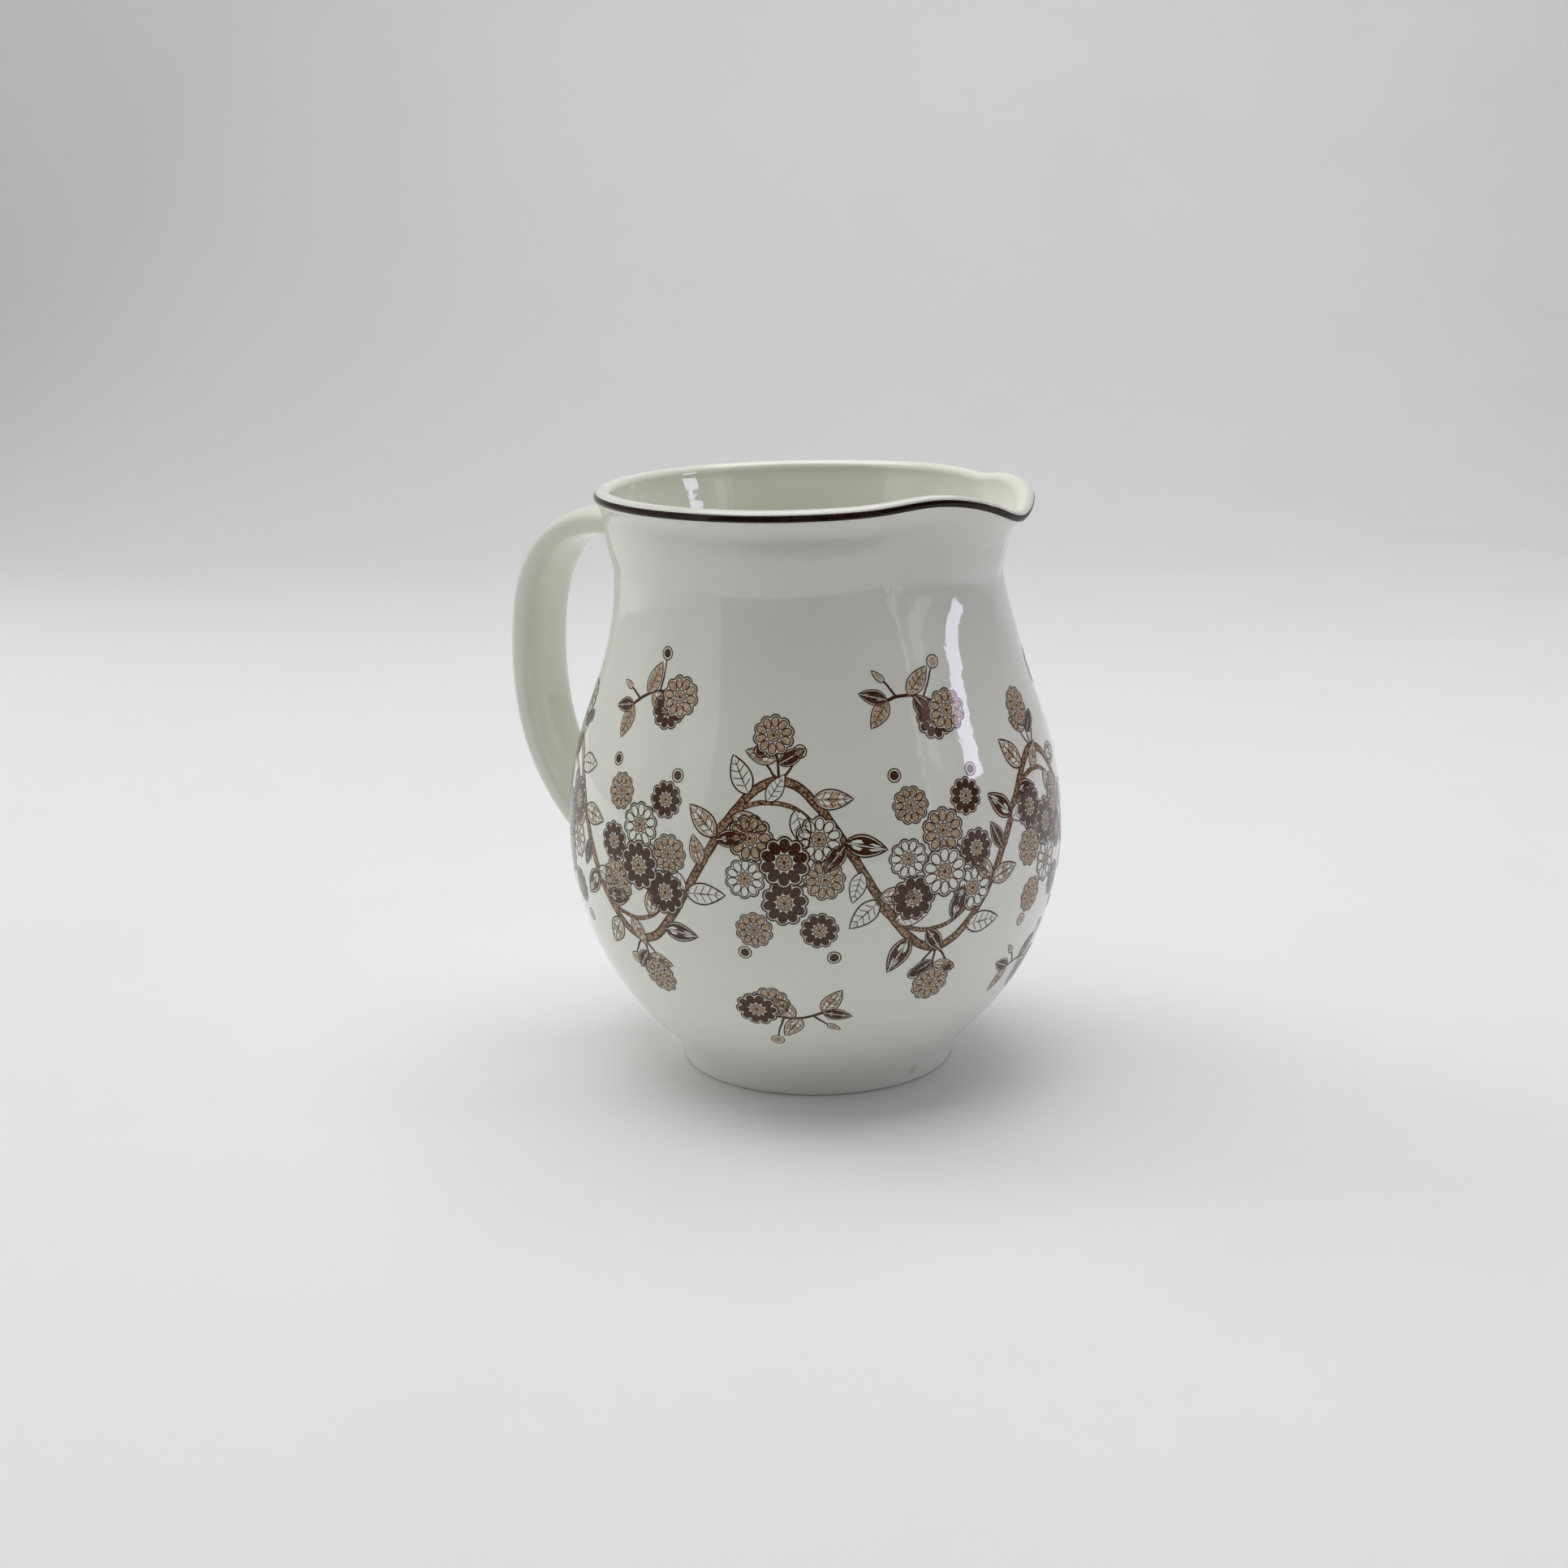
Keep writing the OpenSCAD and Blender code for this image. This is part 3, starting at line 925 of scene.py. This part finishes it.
berry_edge, berry_core = oval(0, 1.75, 1.85, 1.85, 18), oval(0, 1.75, 1.2, 1.2, 14)
seed_edge, seed_core = oval(0, 2.1, 1.3, 2.2, 16, 0, 0.45), oval(0, 1.95, 0.7, 1.4, 10, 0, 0.45)
drawings = [daisy(LINE), daisy(TINT), daisy(None), leaf(LINE), leaf(TINT), leaf(None),
            pip(berry_edge, 0.32, berry_core, LINE), pip(berry_edge, 0.32, berry_core, TINT),
            pip(seed_edge, fine_line, seed_core, TINT)]
DAISY, LEAF, BERRY, SEED = (0, 1, 2), (3, 4, 5), (6, 7), 8
motif_shelf = bpy.data.collections.new("motifs")
for k, drawing in enumerate(drawings):
    motif_shelf.objects.link(drawing.as_object("motif_%02d" % k))
print(len(drawings), "motifs,", sum(len(d.faces) for d in drawings), "faces in all")

# %% [markdown]
# Two lists hold the whole drawing: the stems, each with its width at both ends, and the spots,
# each with the number of its motif, its turn and its size. Every stem gets a slight wobble of
# the hand, and every leaf a slight chance in its lean and size, from a fixed seed.

# %% Stems, leaves and stalks
pick = random.Random(11)
stems, spots = [], []
mid_line, swing, pitch_mm, phase = 73.0, 23.0, 84.0, 21.0
hand_wobble = 0.12


def put(kind, x, y, turn, size=1.0, lift=0.0):
    spots.append((x, y, lift, kind, turn, size))


def vine_point(x):
    return np.array([x, mid_line + swing * math.sin(2 * math.pi * (x + phase) / pitch_mm)])


def stem(points, start_w, end_w):
    points = np.array(points, float)
    wobble = np.array([[pick.uniform(-hand_wobble, hand_wobble) for _ in range(2)]
                       for _ in points])
    wobble[0] = wobble[-1] = 0
    stems.append((points + wobble, start_w, end_w))
    return points


def heading_at(points, share):
    place = share * (len(points) - 1)
    i = min(len(points) - 2, int(place))
    run = points[i + 1] - points[i]
    return points[i] + run * (place - i), math.atan2(run[1], run[0])


def leaf_on(points, share, side, kind, size=1.0, lean=50.0):
    spot, run = heading_at(points, share)
    put(kind, *spot, run + side * math.radians(lean + pick.uniform(-9, 9)) - math.pi / 2,
        size * pick.uniform(0.92, 1.06))


def stalk(x, y, turn, length, kind=None, bend=0.25):
    """A short bent stalk, bare or with something at its end."""
    t = np.linspace(0, 1, 7)
    turn_at = turn + bend * t
    steps = np.stack([np.cos(turn_at), np.sin(turn_at)], axis=1) * length / 6
    points = np.array([x, y]) + np.vstack([[0, 0], np.cumsum(steps[1:], axis=0)])
    stem(points, 0.75, 0.5)
    if kind is not None:
        put(kind, *points[-1], turn_at[-1] - math.pi / 2)
    return points


print("the vine waves by", 2 * swing, "mm, with a bend every", pitch_mm / 2, "mm")

# %% [markdown]
# Two small groups come back all along the vine: the spray that crowns each bend, and the loose
# sprig that fills the gap across from it.

# %% Sprays and sprigs
def crown_spray(x, y, turn):
    """What grows outward at a bend: a daisy on a stalk, between two leaves and two berries."""
    for lean in (-0.95, 0.95):
        stalk(x, y, turn + lean, 7.4, pick.choice(BERRY), bend=-lean * 0.5)
    points = stalk(x, y, turn + pick.uniform(-0.15, 0.15), 11.5, bend=0.2)
    leaf_on(points, 0.45, 1, LEAF[1], 0.74, 62)
    leaf_on(points, 0.35, -1, LEAF[0], 0.74, 62)
    put(pick.choice(DAISY), *points[-1], pick.uniform(0, 1), 0.86, 0.03)


def sprig(x, y, turn):
    """A loose sprig: two daisies on a curved stalk with leaves, a berry and a seed."""
    t = np.linspace(-1, 1, 15)
    c, s = math.cos(turn), math.sin(turn)
    points = stem([(x + c * 10 * k - s * 2.6 * (1 - k * k), y + s * 10 * k + c * 2.6 * (1 - k * k))
                   for k in t], 0.95, 0.6)
    flower = pick.choice((0, 1))
    put(DAISY[1 - flower], *(points[-4] + 4.6 * np.array([s, -c])), pick.uniform(0, 1), 0.84)
    put(DAISY[flower], *points[-1], pick.uniform(0, 1), 0.92, 0.03)
    leaf_on(points, 0.34, 1, pick.choice(LEAF[:2]), 0.82)
    leaf_on(points, 0.44, -1, pick.choice(LEAF[:2]), 0.84)
    leaf_on(points, 0.03, -1, LEAF[1], 0.8, 140)
    leaf_on(points, 0.03, 1, LEAF[0], 0.74, 150)
    spot, run = heading_at(points, 0.16)
    stalk(*spot, run + 2.0, 5.4, SEED)
    spot, run = heading_at(points, 0.6)
    stalk(*spot, run + 1.2, 8.2, pick.choice(BERRY))


def toward(lean):
    return np.array([math.cos(lean), math.sin(lean)])


print("a sprig has 2 daisies, 4 leaves, a berry and a seed")

# %% [markdown]
# The vine is a wave that runs round the belly and ends in three leaves on each side of the
# handle. In each of its bends a side shoot curls in to a cluster of daisies, as in any scroll
# border. Leaves sit where a plant would have them.

# %% Lay out the vine
vine_from, vine_to = -189.0, 189.0
vine = stem([vine_point(x) for x in np.arange(vine_from, vine_to + 0.1, 1.5)], 2.5, 2.2)
half = pitch_mm / 2
last_bend = int(vine_to / half)
hub_aside, hub_rise, curl_end_r, inner_r, outer_r, berry_r = 1.5, 2.5, 7.4, 10.6, 20.0, 25.4

for k in range(-last_bend, last_bend + 1):
    at = half * k
    up = 1 if k % 2 == 0 else -1
    hub = np.array([at + hub_aside, mid_line + up * hub_rise])
    t = np.linspace(0, 1, 34)
    reach = curl_end_r + (half / 2 - curl_end_r) * (1 - t) ** 1.4
    curl_turn = math.pi - 1.35 * math.pi * t
    curl = np.stack([hub[0] + reach * np.cos(curl_turn),
                     hub[1] + up * reach * np.sin(curl_turn)], axis=1)
    curl[:3] = [vine_point(at - half / 2 + 0.5 * j) + np.array([0.12, -0.16 * up]) * j * j
                for j in range(3)]
    curl = stem(curl, 1.5, 0.8)
    for share, side, kind, size in ((0.16, -up, k, 0.9), (0.30, up, k + 1, 0.78),
                                    (0.42, -up, k + 1, 0.9)):
        leaf_on(curl, share, side, LEAF[kind % 3], size, 48)
    down = -up * math.pi / 2
    for j, lean in enumerate((-2.15, -1.15, 0.0, 1.15, 2.15)):
        small = j % 2
        put(DAISY[(k + j) % 3], *(hub + (inner_r + 0.5 * small) * toward(down + lean)),
            pick.uniform(0, 1), 0.86 if small else 0.98, -0.012 * small)
    for j, lean in enumerate((-0.42, 0.45)):
        put(DAISY[(k + j + 1) % 2], *(hub + outer_r * toward(down + lean)), pick.uniform(0, 1),
            0.8, -0.006)
        put(pick.choice(BERRY), *(hub + (berry_r + 1.5 * j) * toward(down + lean)),
            down + lean - math.pi / 2)
    put(DAISY[k % 3 if k % 2 else 0], *hub, pick.uniform(0, 1), 1.08, 0.03)
    share = (at - vine_from) / (vine_to - vine_from)
    for off, side, kind, size in ((-0.066, 1, k + 1, 0.82), (-0.043, 1, k, 0.96),
                                  (-0.021, 1, k + 1, 1.0), (0.023, 1, k, 1.0),
                                  (0.044, 1, k + 2, 0.96), (0.067, 1, k, 0.82),
                                  (0.056, -1, k + 1, 0.74)):
        leaf_on(vine, share + off, side * up, LEAF[kind % 3], size, 52 if off > 0 else 78)
    crown_spray(*vine_point(at), up * math.pi / 2)
    if abs(at) < vine_to - half / 2:
        sprig(at + pick.uniform(-2, 2), mid_line - up * pick.uniform(39, 41),
              pick.uniform(-0.3, 0.3) + (math.pi if k % 3 == 1 else 0))
for end, before in ((vine[0], vine[1]), (vine[-1], vine[-2])):
    run = math.atan2(*(end - before)[::-1])
    for kind, lean, size, lift in ((LEAF[0], -0.6, 0.9, 0.0), (LEAF[0], 0.6, 0.9, 0.0),
                                   (LEAF[1], 0.0, 1.05, 0.03)):
        put(kind, *end, run + lean - math.pi / 2, size, lift)
print(len(stems), "stems and", len(spots), "motifs laid out")

# %% [markdown]
# ## Laying the drawing on the jug
# A flat drawing is laid on a round form by reading its width as a length round the belly and
# its height as a length up the side. The tree samples the outer line of the section at that
# length, which gives a radius, a height and a slope, and lifts the film a few hundredths of
# a millimetre off the glaze. A motif keeps its shape: its own width is divided by the radius
# at its middle, so that daisies stay round where the jug is narrower.

# %% The laying tree
film_line = line_object("outer_line", outer_side)


def lay_on_jug(tree, geometry, line, belly):
    """Adds the nodes that lay flat geometry on the outer line turned about the axis."""
    curve = add_node(tree, "GeometryNodeMeshToCurve", Mesh=add_node(
        tree, "GeometryNodeObjectInfo", {"transform_space": "ORIGINAL"},
        Object=line).outputs["Geometry"]).outputs["Curve"]

    def at_length(length):
        """Place and heading on the outer line, that far along it."""
        found = add_node(tree, "GeometryNodeSampleCurve", {"mode": "LENGTH"}, Curves=curve,
                         Length=length)
        return (parts_of(tree, found.outputs["Position"]),
                parts_of(tree, found.outputs["Tangent"]))

    x, y, film = parts_of(tree, tree.nodes.new("GeometryNodeInputPosition").outputs[0])
    centre_x, centre_y, _ = parts_of(tree, stored(tree, "centre", "FLOAT_VECTOR"))
    (radius, _, height), (outward, _, upward) = at_length(y)
    (middle_radius, _, _), _ = at_length(centre_y)
    turn = centre_x / belly + (x - centre_x) / middle_radius
    reach = radius + film * upward
    laid = add_node(tree, "ShaderNodeCombineXYZ", X=reach * turn.by("COSINE"),
                    Y=reach * turn.by("SINE"), Z=height - film * outward)
    return add_node(tree, "GeometryNodeSetPosition", Geometry=geometry,
                    Position=laid.outputs[0]).outputs[0]


def remember_centre(tree, geometry):
    return add_node(tree, "GeometryNodeStoreNamedAttribute",
                    {"data_type": "FLOAT_VECTOR", "domain": "POINT"}, Geometry=geometry,
                    Name="centre",
                    Value=tree.nodes.new("GeometryNodeInputPosition").outputs[0]).outputs[0]


tree, source, leave, dial = new_tree("Set out the motifs", motifs="collection",
                                     outer_line="object", belly_radius="size", tone="count",
                                     colour="material")
shelf = add_node(tree, "GeometryNodeCollectionInfo", Collection=dial["motifs"],
                 Separate_Children=True, Reset_Children=True)
points = add_node(tree, "GeometryNodeMeshToPoints", Mesh=remember_centre(tree, source))
spin = add_node(tree, "ShaderNodeCombineXYZ", Z=stored(tree, "turn"))
size = stored(tree, "size")
flat_size = add_node(tree, "ShaderNodeCombineXYZ", X=size, Y=size, Z=1.0)
copies = add_node(tree, "GeometryNodeInstanceOnPoints", Points=points.outputs[0],
                  Instance=shelf.outputs[0], Pick_Instance=True,
                  Instance_Index=stored(tree, "kind", "INT"), Rotation=spin.outputs[0],
                  Scale=flat_size.outputs[0])
real = add_node(tree, "GeometryNodeRealizeInstances", Geometry=copies.outputs[0])
other = add_node(tree, "FunctionNodeCompare", {"data_type": "INT", "operation": "NOT_EQUAL"})
feed(tree, other.inputs[2], stored(tree, "tone", "INT"))
feed(tree, other.inputs[3], dial["tone"])
kept = add_node(tree, "GeometryNodeDeleteGeometry", {"domain": "FACE"},
                Geometry=real.outputs[0], Selection=other.outputs[0])
laid = lay_on_jug(tree, kept.outputs[0], dial["outer_line"], dial["belly_radius"])
finish_tree(tree, laid, leave, dial["colour"])
motif_tree = tree
print("motif tree:", len(tree.nodes), "nodes")

# %% [markdown]
# Stems are ribbons. The tree turns each drawn line into a curve, evens out its points, and
# sweeps a flat bar along it whose width follows the stored width. Then it is laid on the jug
# by the same rule.

# %% The stem tree
tree, source, leave, dial = new_tree("Draw the stems", outer_line="object",
                                     belly_radius="size", step="size", film="size",
                                     colour="material")
curve = add_node(tree, "GeometryNodeMeshToCurve", Mesh=source)
even = add_node(tree, "GeometryNodeResampleCurve", {"mode": "LENGTH"}, Curve=curve.outputs[0],
                Length=dial["step"])
upright = add_node(tree, "GeometryNodeSetCurveNormal", {"mode": "Z_UP"}, Curve=even.outputs[0])
bar = add_node(tree, "GeometryNodeCurvePrimitiveLine", Start=(-0.5, 0, 0), End=(0.5, 0, 0))
ribbon = add_node(tree, "GeometryNodeCurveToMesh", Curve=upright.outputs[0],
                  Profile_Curve=bar.outputs[0], Scale=stored(tree, "width"))
lift = add_node(tree, "ShaderNodeCombineXYZ", Z=dial["film"])
lifted = add_node(tree, "GeometryNodeSetPosition", Geometry=ribbon.outputs[0],
                  Offset=lift.outputs[0])
centred = remember_centre(tree, lifted.outputs[0])
laid = lay_on_jug(tree, centred, dial["outer_line"], dial["belly_radius"])
finish_tree(tree, laid, leave, dial["colour"])
stem_tree = tree
print("stem tree:", len(tree.nodes), "nodes")

# %% [markdown]
# ## The print's colours
# Printed enamel isn't one flat brown. The dark parts are stippled with tiny dots of a lighter
# brown where the glaze shows through, and the tint is the same enamel in a fine open dot, so
# it reads as a warm grey tan. Both lie under or in the glaze and share its gloss.

# %% Print materials
def printed(name, dark, light, grain_size, balance):
    material, tree, shader = new_material(name)
    grain = noise(tree, grain_size, 2.0, 0.6)
    cloud = noise(tree, 160.0, 2.0)
    share = ((grain - balance) * 5.0 + (cloud - 0.5) * 0.8 + 0.5).limited()
    feed(tree, shader.inputs["Base Color"], blend_colours(tree, share, dark, light))
    gloss(shader, 0.06, 0.4)
    bump(tree, shader, waver(tree))
    return material


sepia_dark = printed("sepia print", (0.052, 0.018, 0.007, 1), (0.16, 0.075, 0.045, 1),
                     2600.0, 0.6)
sepia_tint = printed("sepia tint", (0.28, 0.18, 0.105, 1), (0.64, 0.50, 0.345, 1), 2600.0, 0.5)
sepia_bark = printed("sepia bark", (0.09, 0.036, 0.018, 1), (0.46, 0.31, 0.20, 1), 1500.0, 0.52)
print("print materials:", sepia_dark.name + ",", sepia_tint.name + ",", sepia_bark.name)

# %% [markdown]
# Now the drawing goes on the jug: once for each tone of the motifs, then the stems, and last
# a lighter core on the thick stems, which makes them look like bark. Each is one thin film,
# a piece of its own, so that it has its own finish.

# %% Lay the print on the jug
def store(piece, label, sort, values):
    piece.data.attributes.new(label, sort, "POINT").data.foreach_set("value", values)


def spots_object(name):
    piece = mesh_object(name, [(x * MM, y * MM, lift * MM) for x, y, lift, *_ in spots])
    for label, sort, column in (("kind", "INT", 3), ("turn", "FLOAT", 4), ("size", "FLOAT", 5)):
        store(piece, label, sort, [spot[column] for spot in spots])
    return piece


def stems_object(name, lines, share):
    points, edges, widths = [], [], []
    for line, start_w, end_w in lines:
        first = len(points)
        points += [(x * MM, y * MM, 0.0) for x, y in line]
        edges += [(first + i, first + i + 1) for i in range(len(line) - 1)]
        widths += list(np.linspace(start_w, end_w, len(line)) * share * MM)
    piece = mesh_object(name, points, edges)
    store(piece, "width", "FLOAT", widths)
    return piece


for name, tone_wanted, colour, slot in (("print_ground", GROUND, body_glaze, "ivory_glaze"),
                                        ("print_tint", TINT, sepia_tint, "brown_enamel"),
                                        ("print_line", LINE, sepia_dark, "brown_enamel")):
    piece = run_tree(spots_object(name), motif_tree, motifs=motif_shelf, outer_line=film_line,
                     belly_radius=belly_r * MM, tone=tone_wanted, colour=colour)
    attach(piece, "root")
thick_stems = [line for line in stems if line[1] > 1.2]
for name, lines, share, film, colour in (("print_stems", stems, 1.0, 0.03, sepia_dark),
                                         ("print_bark", thick_stems, 0.66, 0.038, sepia_bark)):
    piece = run_tree(stems_object(name, lines, share), stem_tree, outer_line=film_line,
                     belly_radius=belly_r * MM, step=0.7 * MM, film=film * MM, colour=colour)
    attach(piece, "root")
for drawing in list(motif_shelf.objects):
    bpy.data.objects.remove(drawing)
bpy.data.collections.remove(motif_shelf)
bpy.data.objects.remove(film_line)

# %% [markdown]
# ## Floor, backdrop and light
# The jug stands on a sheet of white paper that curves up behind it. The light comes softly
# from both sides and from above, while the front, where the camera looks in, stays darker.
# The picture looks at the jug from 27 degrees round, so everything about it is placed as the
# camera sees it: to the right, away from the camera and up. The paper is greyer on the left and
# lighter and bluer on the right: painted light from the window on that side.

# %% The sweep
around_jug = math.radians(27)


def seen_from_camera(right_of, away, up):
    return Matrix.Rotation(around_jug, 4, "Z") @ Vector((right_of, away, up))


def white_paper():
    material, tree, shader = new_material("white paper")
    x, y, _ = parts_of(tree, own_place(tree))
    rightward = x * math.cos(around_jug) + y * math.sin(around_jug)
    # Painted light: the paper's colour brightens and turns bluer towards the right, the window's
    # side.
    lit_toward_right = blend_colours(tree, (rightward * 1.4 + 0.5).limited(),
                          (0.835, 0.847, 0.837, 1), (0.915, 0.926, 0.935, 1))
    smudge = (noise(tree, 9.0, 4.0) * 3.0 - 1.4).limited()
    feed(tree, shader.inputs["Base Color"],
         blend_colours(tree, smudge * 0.25, lit_toward_right, (0.80, 0.81, 0.80, 1)))
    shader.inputs["Roughness"].default_value = 0.55
    return material


front_end, bend_start, bend_r, sheet_top, sheet_side = -3.0, 0.9, 0.5, 2.2, 2.4
profile = [(front_end, 0.0), (bend_start, 0.0)]
profile += [(bend_start + bend_r * math.sin(t), bend_r - bend_r * math.cos(t))
            for t in np.linspace(0, math.pi / 2, 24)[1:]]
profile += [(bend_start + bend_r, sheet_top)]
steps = len(profile)
paper = mesh_object("paper_sweep",
                    [seen_from_camera(side, away, up)
                     for side in (-sheet_side, sheet_side) for away, up in profile],
                    faces=[(i, i + steps, i + steps + 1, i + 1) for i in range(steps - 1)],
                    material=white_paper(), smooth=True)
print("paper:", steps, "steps from front to top")

# %% [markdown]
# The camera looks down at the jug from the front right of its lip, as in the photograph. Its
# place, pitch and small roll come from fitting the rim, belly and foot of the drawing to the
# picture, so they are written as they came out.

# %% The camera
distance, eye_h, focal, width_px = 0.640, 0.23817, 2944.35, 1932
pan, pitch, roll = -0.01328, 0.24658, -0.01545

forward = Vector((math.sin(pan) * math.cos(pitch), math.cos(pan) * math.cos(pitch),
                  -math.sin(pitch)))
right = Vector((math.cos(pan), -math.sin(pan), 0))
above = right.cross(forward)
rolled_right = right * math.cos(roll) + above * math.sin(roll)
rolled_up = -right * math.sin(roll) + above * math.cos(roll)
stance = Matrix((rolled_right, rolled_up, -forward)).transposed().to_4x4()
stance.translation = Vector((0, -distance, eye_h))

lens = bpy.data.cameras.new("camera")
lens.sensor_width = 36.0
lens.lens = focal / width_px * lens.sensor_width
camera = bpy.data.objects.new("camera", lens)
bpy.context.scene.collection.objects.link(camera)
camera.matrix_world = Matrix.Rotation(around_jug, 4, "Z") @ stance
bpy.context.scene.camera = camera
print("camera at", [round(v, 3) for v in camera.matrix_world.translation], "lens",
      round(lens.lens, 2), "mm")

# %% [markdown]
# Soft panels are area lamps. The three walls only light the jug. The window strip and the two
# top panels are mirrored in the glaze too, and the strip is the long bright streak to the
# right of the jug's front.

# %% Lamps
def panel(name, right_of, away, up, size, watts, aim=(0, 0, 0.08), colour=(1, 1, 1),
          mirrored=True):
    lamp = bpy.data.lights.new(name, "AREA")
    lamp.shape = "RECTANGLE"
    lamp.size, lamp.size_y = size
    lamp.energy = watts
    lamp.color = colour
    place = seen_from_camera(right_of, away, up)
    piece = bpy.data.objects.new(name, lamp)
    piece.matrix_world = (Matrix.Translation(place)
                          @ (place - Vector(aim)).to_track_quat("Z", "Y").to_matrix().to_4x4())
    piece.visible_glossy = mirrored
    bpy.context.scene.collection.objects.link(piece)
    print(name + ":", watts, "W")


panel("left wall", -1.0, -0.22, 0.62, (1.2, 1.25), 1.8, (0, 0, 0.25), mirrored=False)
panel("back left wall", -0.88, 0.52, 0.62, (0.55, 1.25), 3.5, (0, 0, 0.25), mirrored=False)
panel("right wall", 1.2, 0.55, 0.6, (0.9, 1.2), 1.6, (0, 0, 0.15), mirrored=False)
panel("window strip", 1.05, -0.18, 0.385, (0.17, 0.30), 1.08, colour=(0.86, 0.78, 1.0))
panel("top panel", -0.05, 0.12, 1.35, (1.3, 1.0), 12.2)
panel("front top panel", 0.0, -0.75, 1.4, (1.3, 0.7), 0.7)

# %% [markdown]
# What the front of the jug mirrors is a doorway beyond the table: dark in the middle, with a
# bright post and a curtain to its right, lighter at its left, and cut off below by the edge of
# the table. The two sides mirror a dim room. Cards that only the mirror image shows stand
# there. They light nothing and hide nothing. The world is pale where the camera or the glaze
# sees it, and gives only a weak light.

# %% Cards and world
table_edge, room_side, room_back = -0.6, 1.7, 1.0


def card(name, start, end, tone, low=0.0, tall=2.0):
    """A card from one place on the floor to another, both as (to the right, away)."""
    corners = [(*start, low), (*end, low), (*end, tall), (*start, tall)]
    material, tree, shader = new_material(name)
    shader.inputs["Base Color"].default_value = (0, 0, 0, 1)
    shader.inputs["Specular IOR Level"].default_value = 0
    # The card glows with its tone and only glossy rays see it: a painted reflection, not a lamp.
    shader.inputs["Emission Color"].default_value = (*tone, 1)
    shader.inputs["Emission Strength"].default_value = 1
    piece = mesh_object(name, [seen_from_camera(*corner) for corner in corners],
                        faces=[(0, 1, 2, 3)], material=material)
    piece.visible_camera = piece.visible_diffuse = piece.visible_shadow = False


for name, start, end, tone in (("dark_doorway", -0.72, 0.76, (0.03, 0.03, 0.03)),
                               ("doorpost", 0.76, 0.785, (1.6, 1.6, 1.6)),
                               ("side_wall", 0.785, room_side, (0.30, 0.29, 0.29)),
                               ("left_door", -room_side, -0.72, (0.75, 0.75, 0.75))):
    card(name, (start, table_edge), (end, table_edge), tone)
curtain_place = table_edge + 0.01
card("curtain", (0.92, curtain_place), (1.16, curtain_place), (1.3, 1.1, 1.1), 0.42, 0.85)
card("left_room", (-room_side, table_edge), (-room_side, room_back), (0.35, 0.35, 0.35))
card("right_room", (room_side, table_edge), (room_side, room_back), (0.14, 0.14, 0.14))

world = bpy.data.worlds.new("room")
bpy.context.scene.world = world
world.use_nodes = True
tree = world.node_tree
_, _, ray_rise = parts_of(tree, tree.nodes.new("ShaderNodeTexCoord").outputs["Generated"])
above_table = ((ray_rise - 0.045) / 0.02).limited()
dim = blend_colours(tree, above_table, (0.75, 0.75, 0.74, 1), (0.095, 0.095, 0.092, 1))
rays = tree.nodes.new("ShaderNodeLightPath")
seen = Number(tree, rays.outputs["Is Camera Ray"]).by(
    "MAXIMUM", Number(tree, rays.outputs["Is Glossy Ray"]))
feed(tree, tree.nodes["Background"].inputs["Color"],
     blend_colours(tree, seen, dim, (0.55, 0.55, 0.55, 1)))
tree.nodes["Background"].inputs["Strength"].default_value = 1.0
bpy.context.scene.view_settings.view_transform = "Standard"
print("stage set, view transform", bpy.context.scene.view_settings.view_transform)
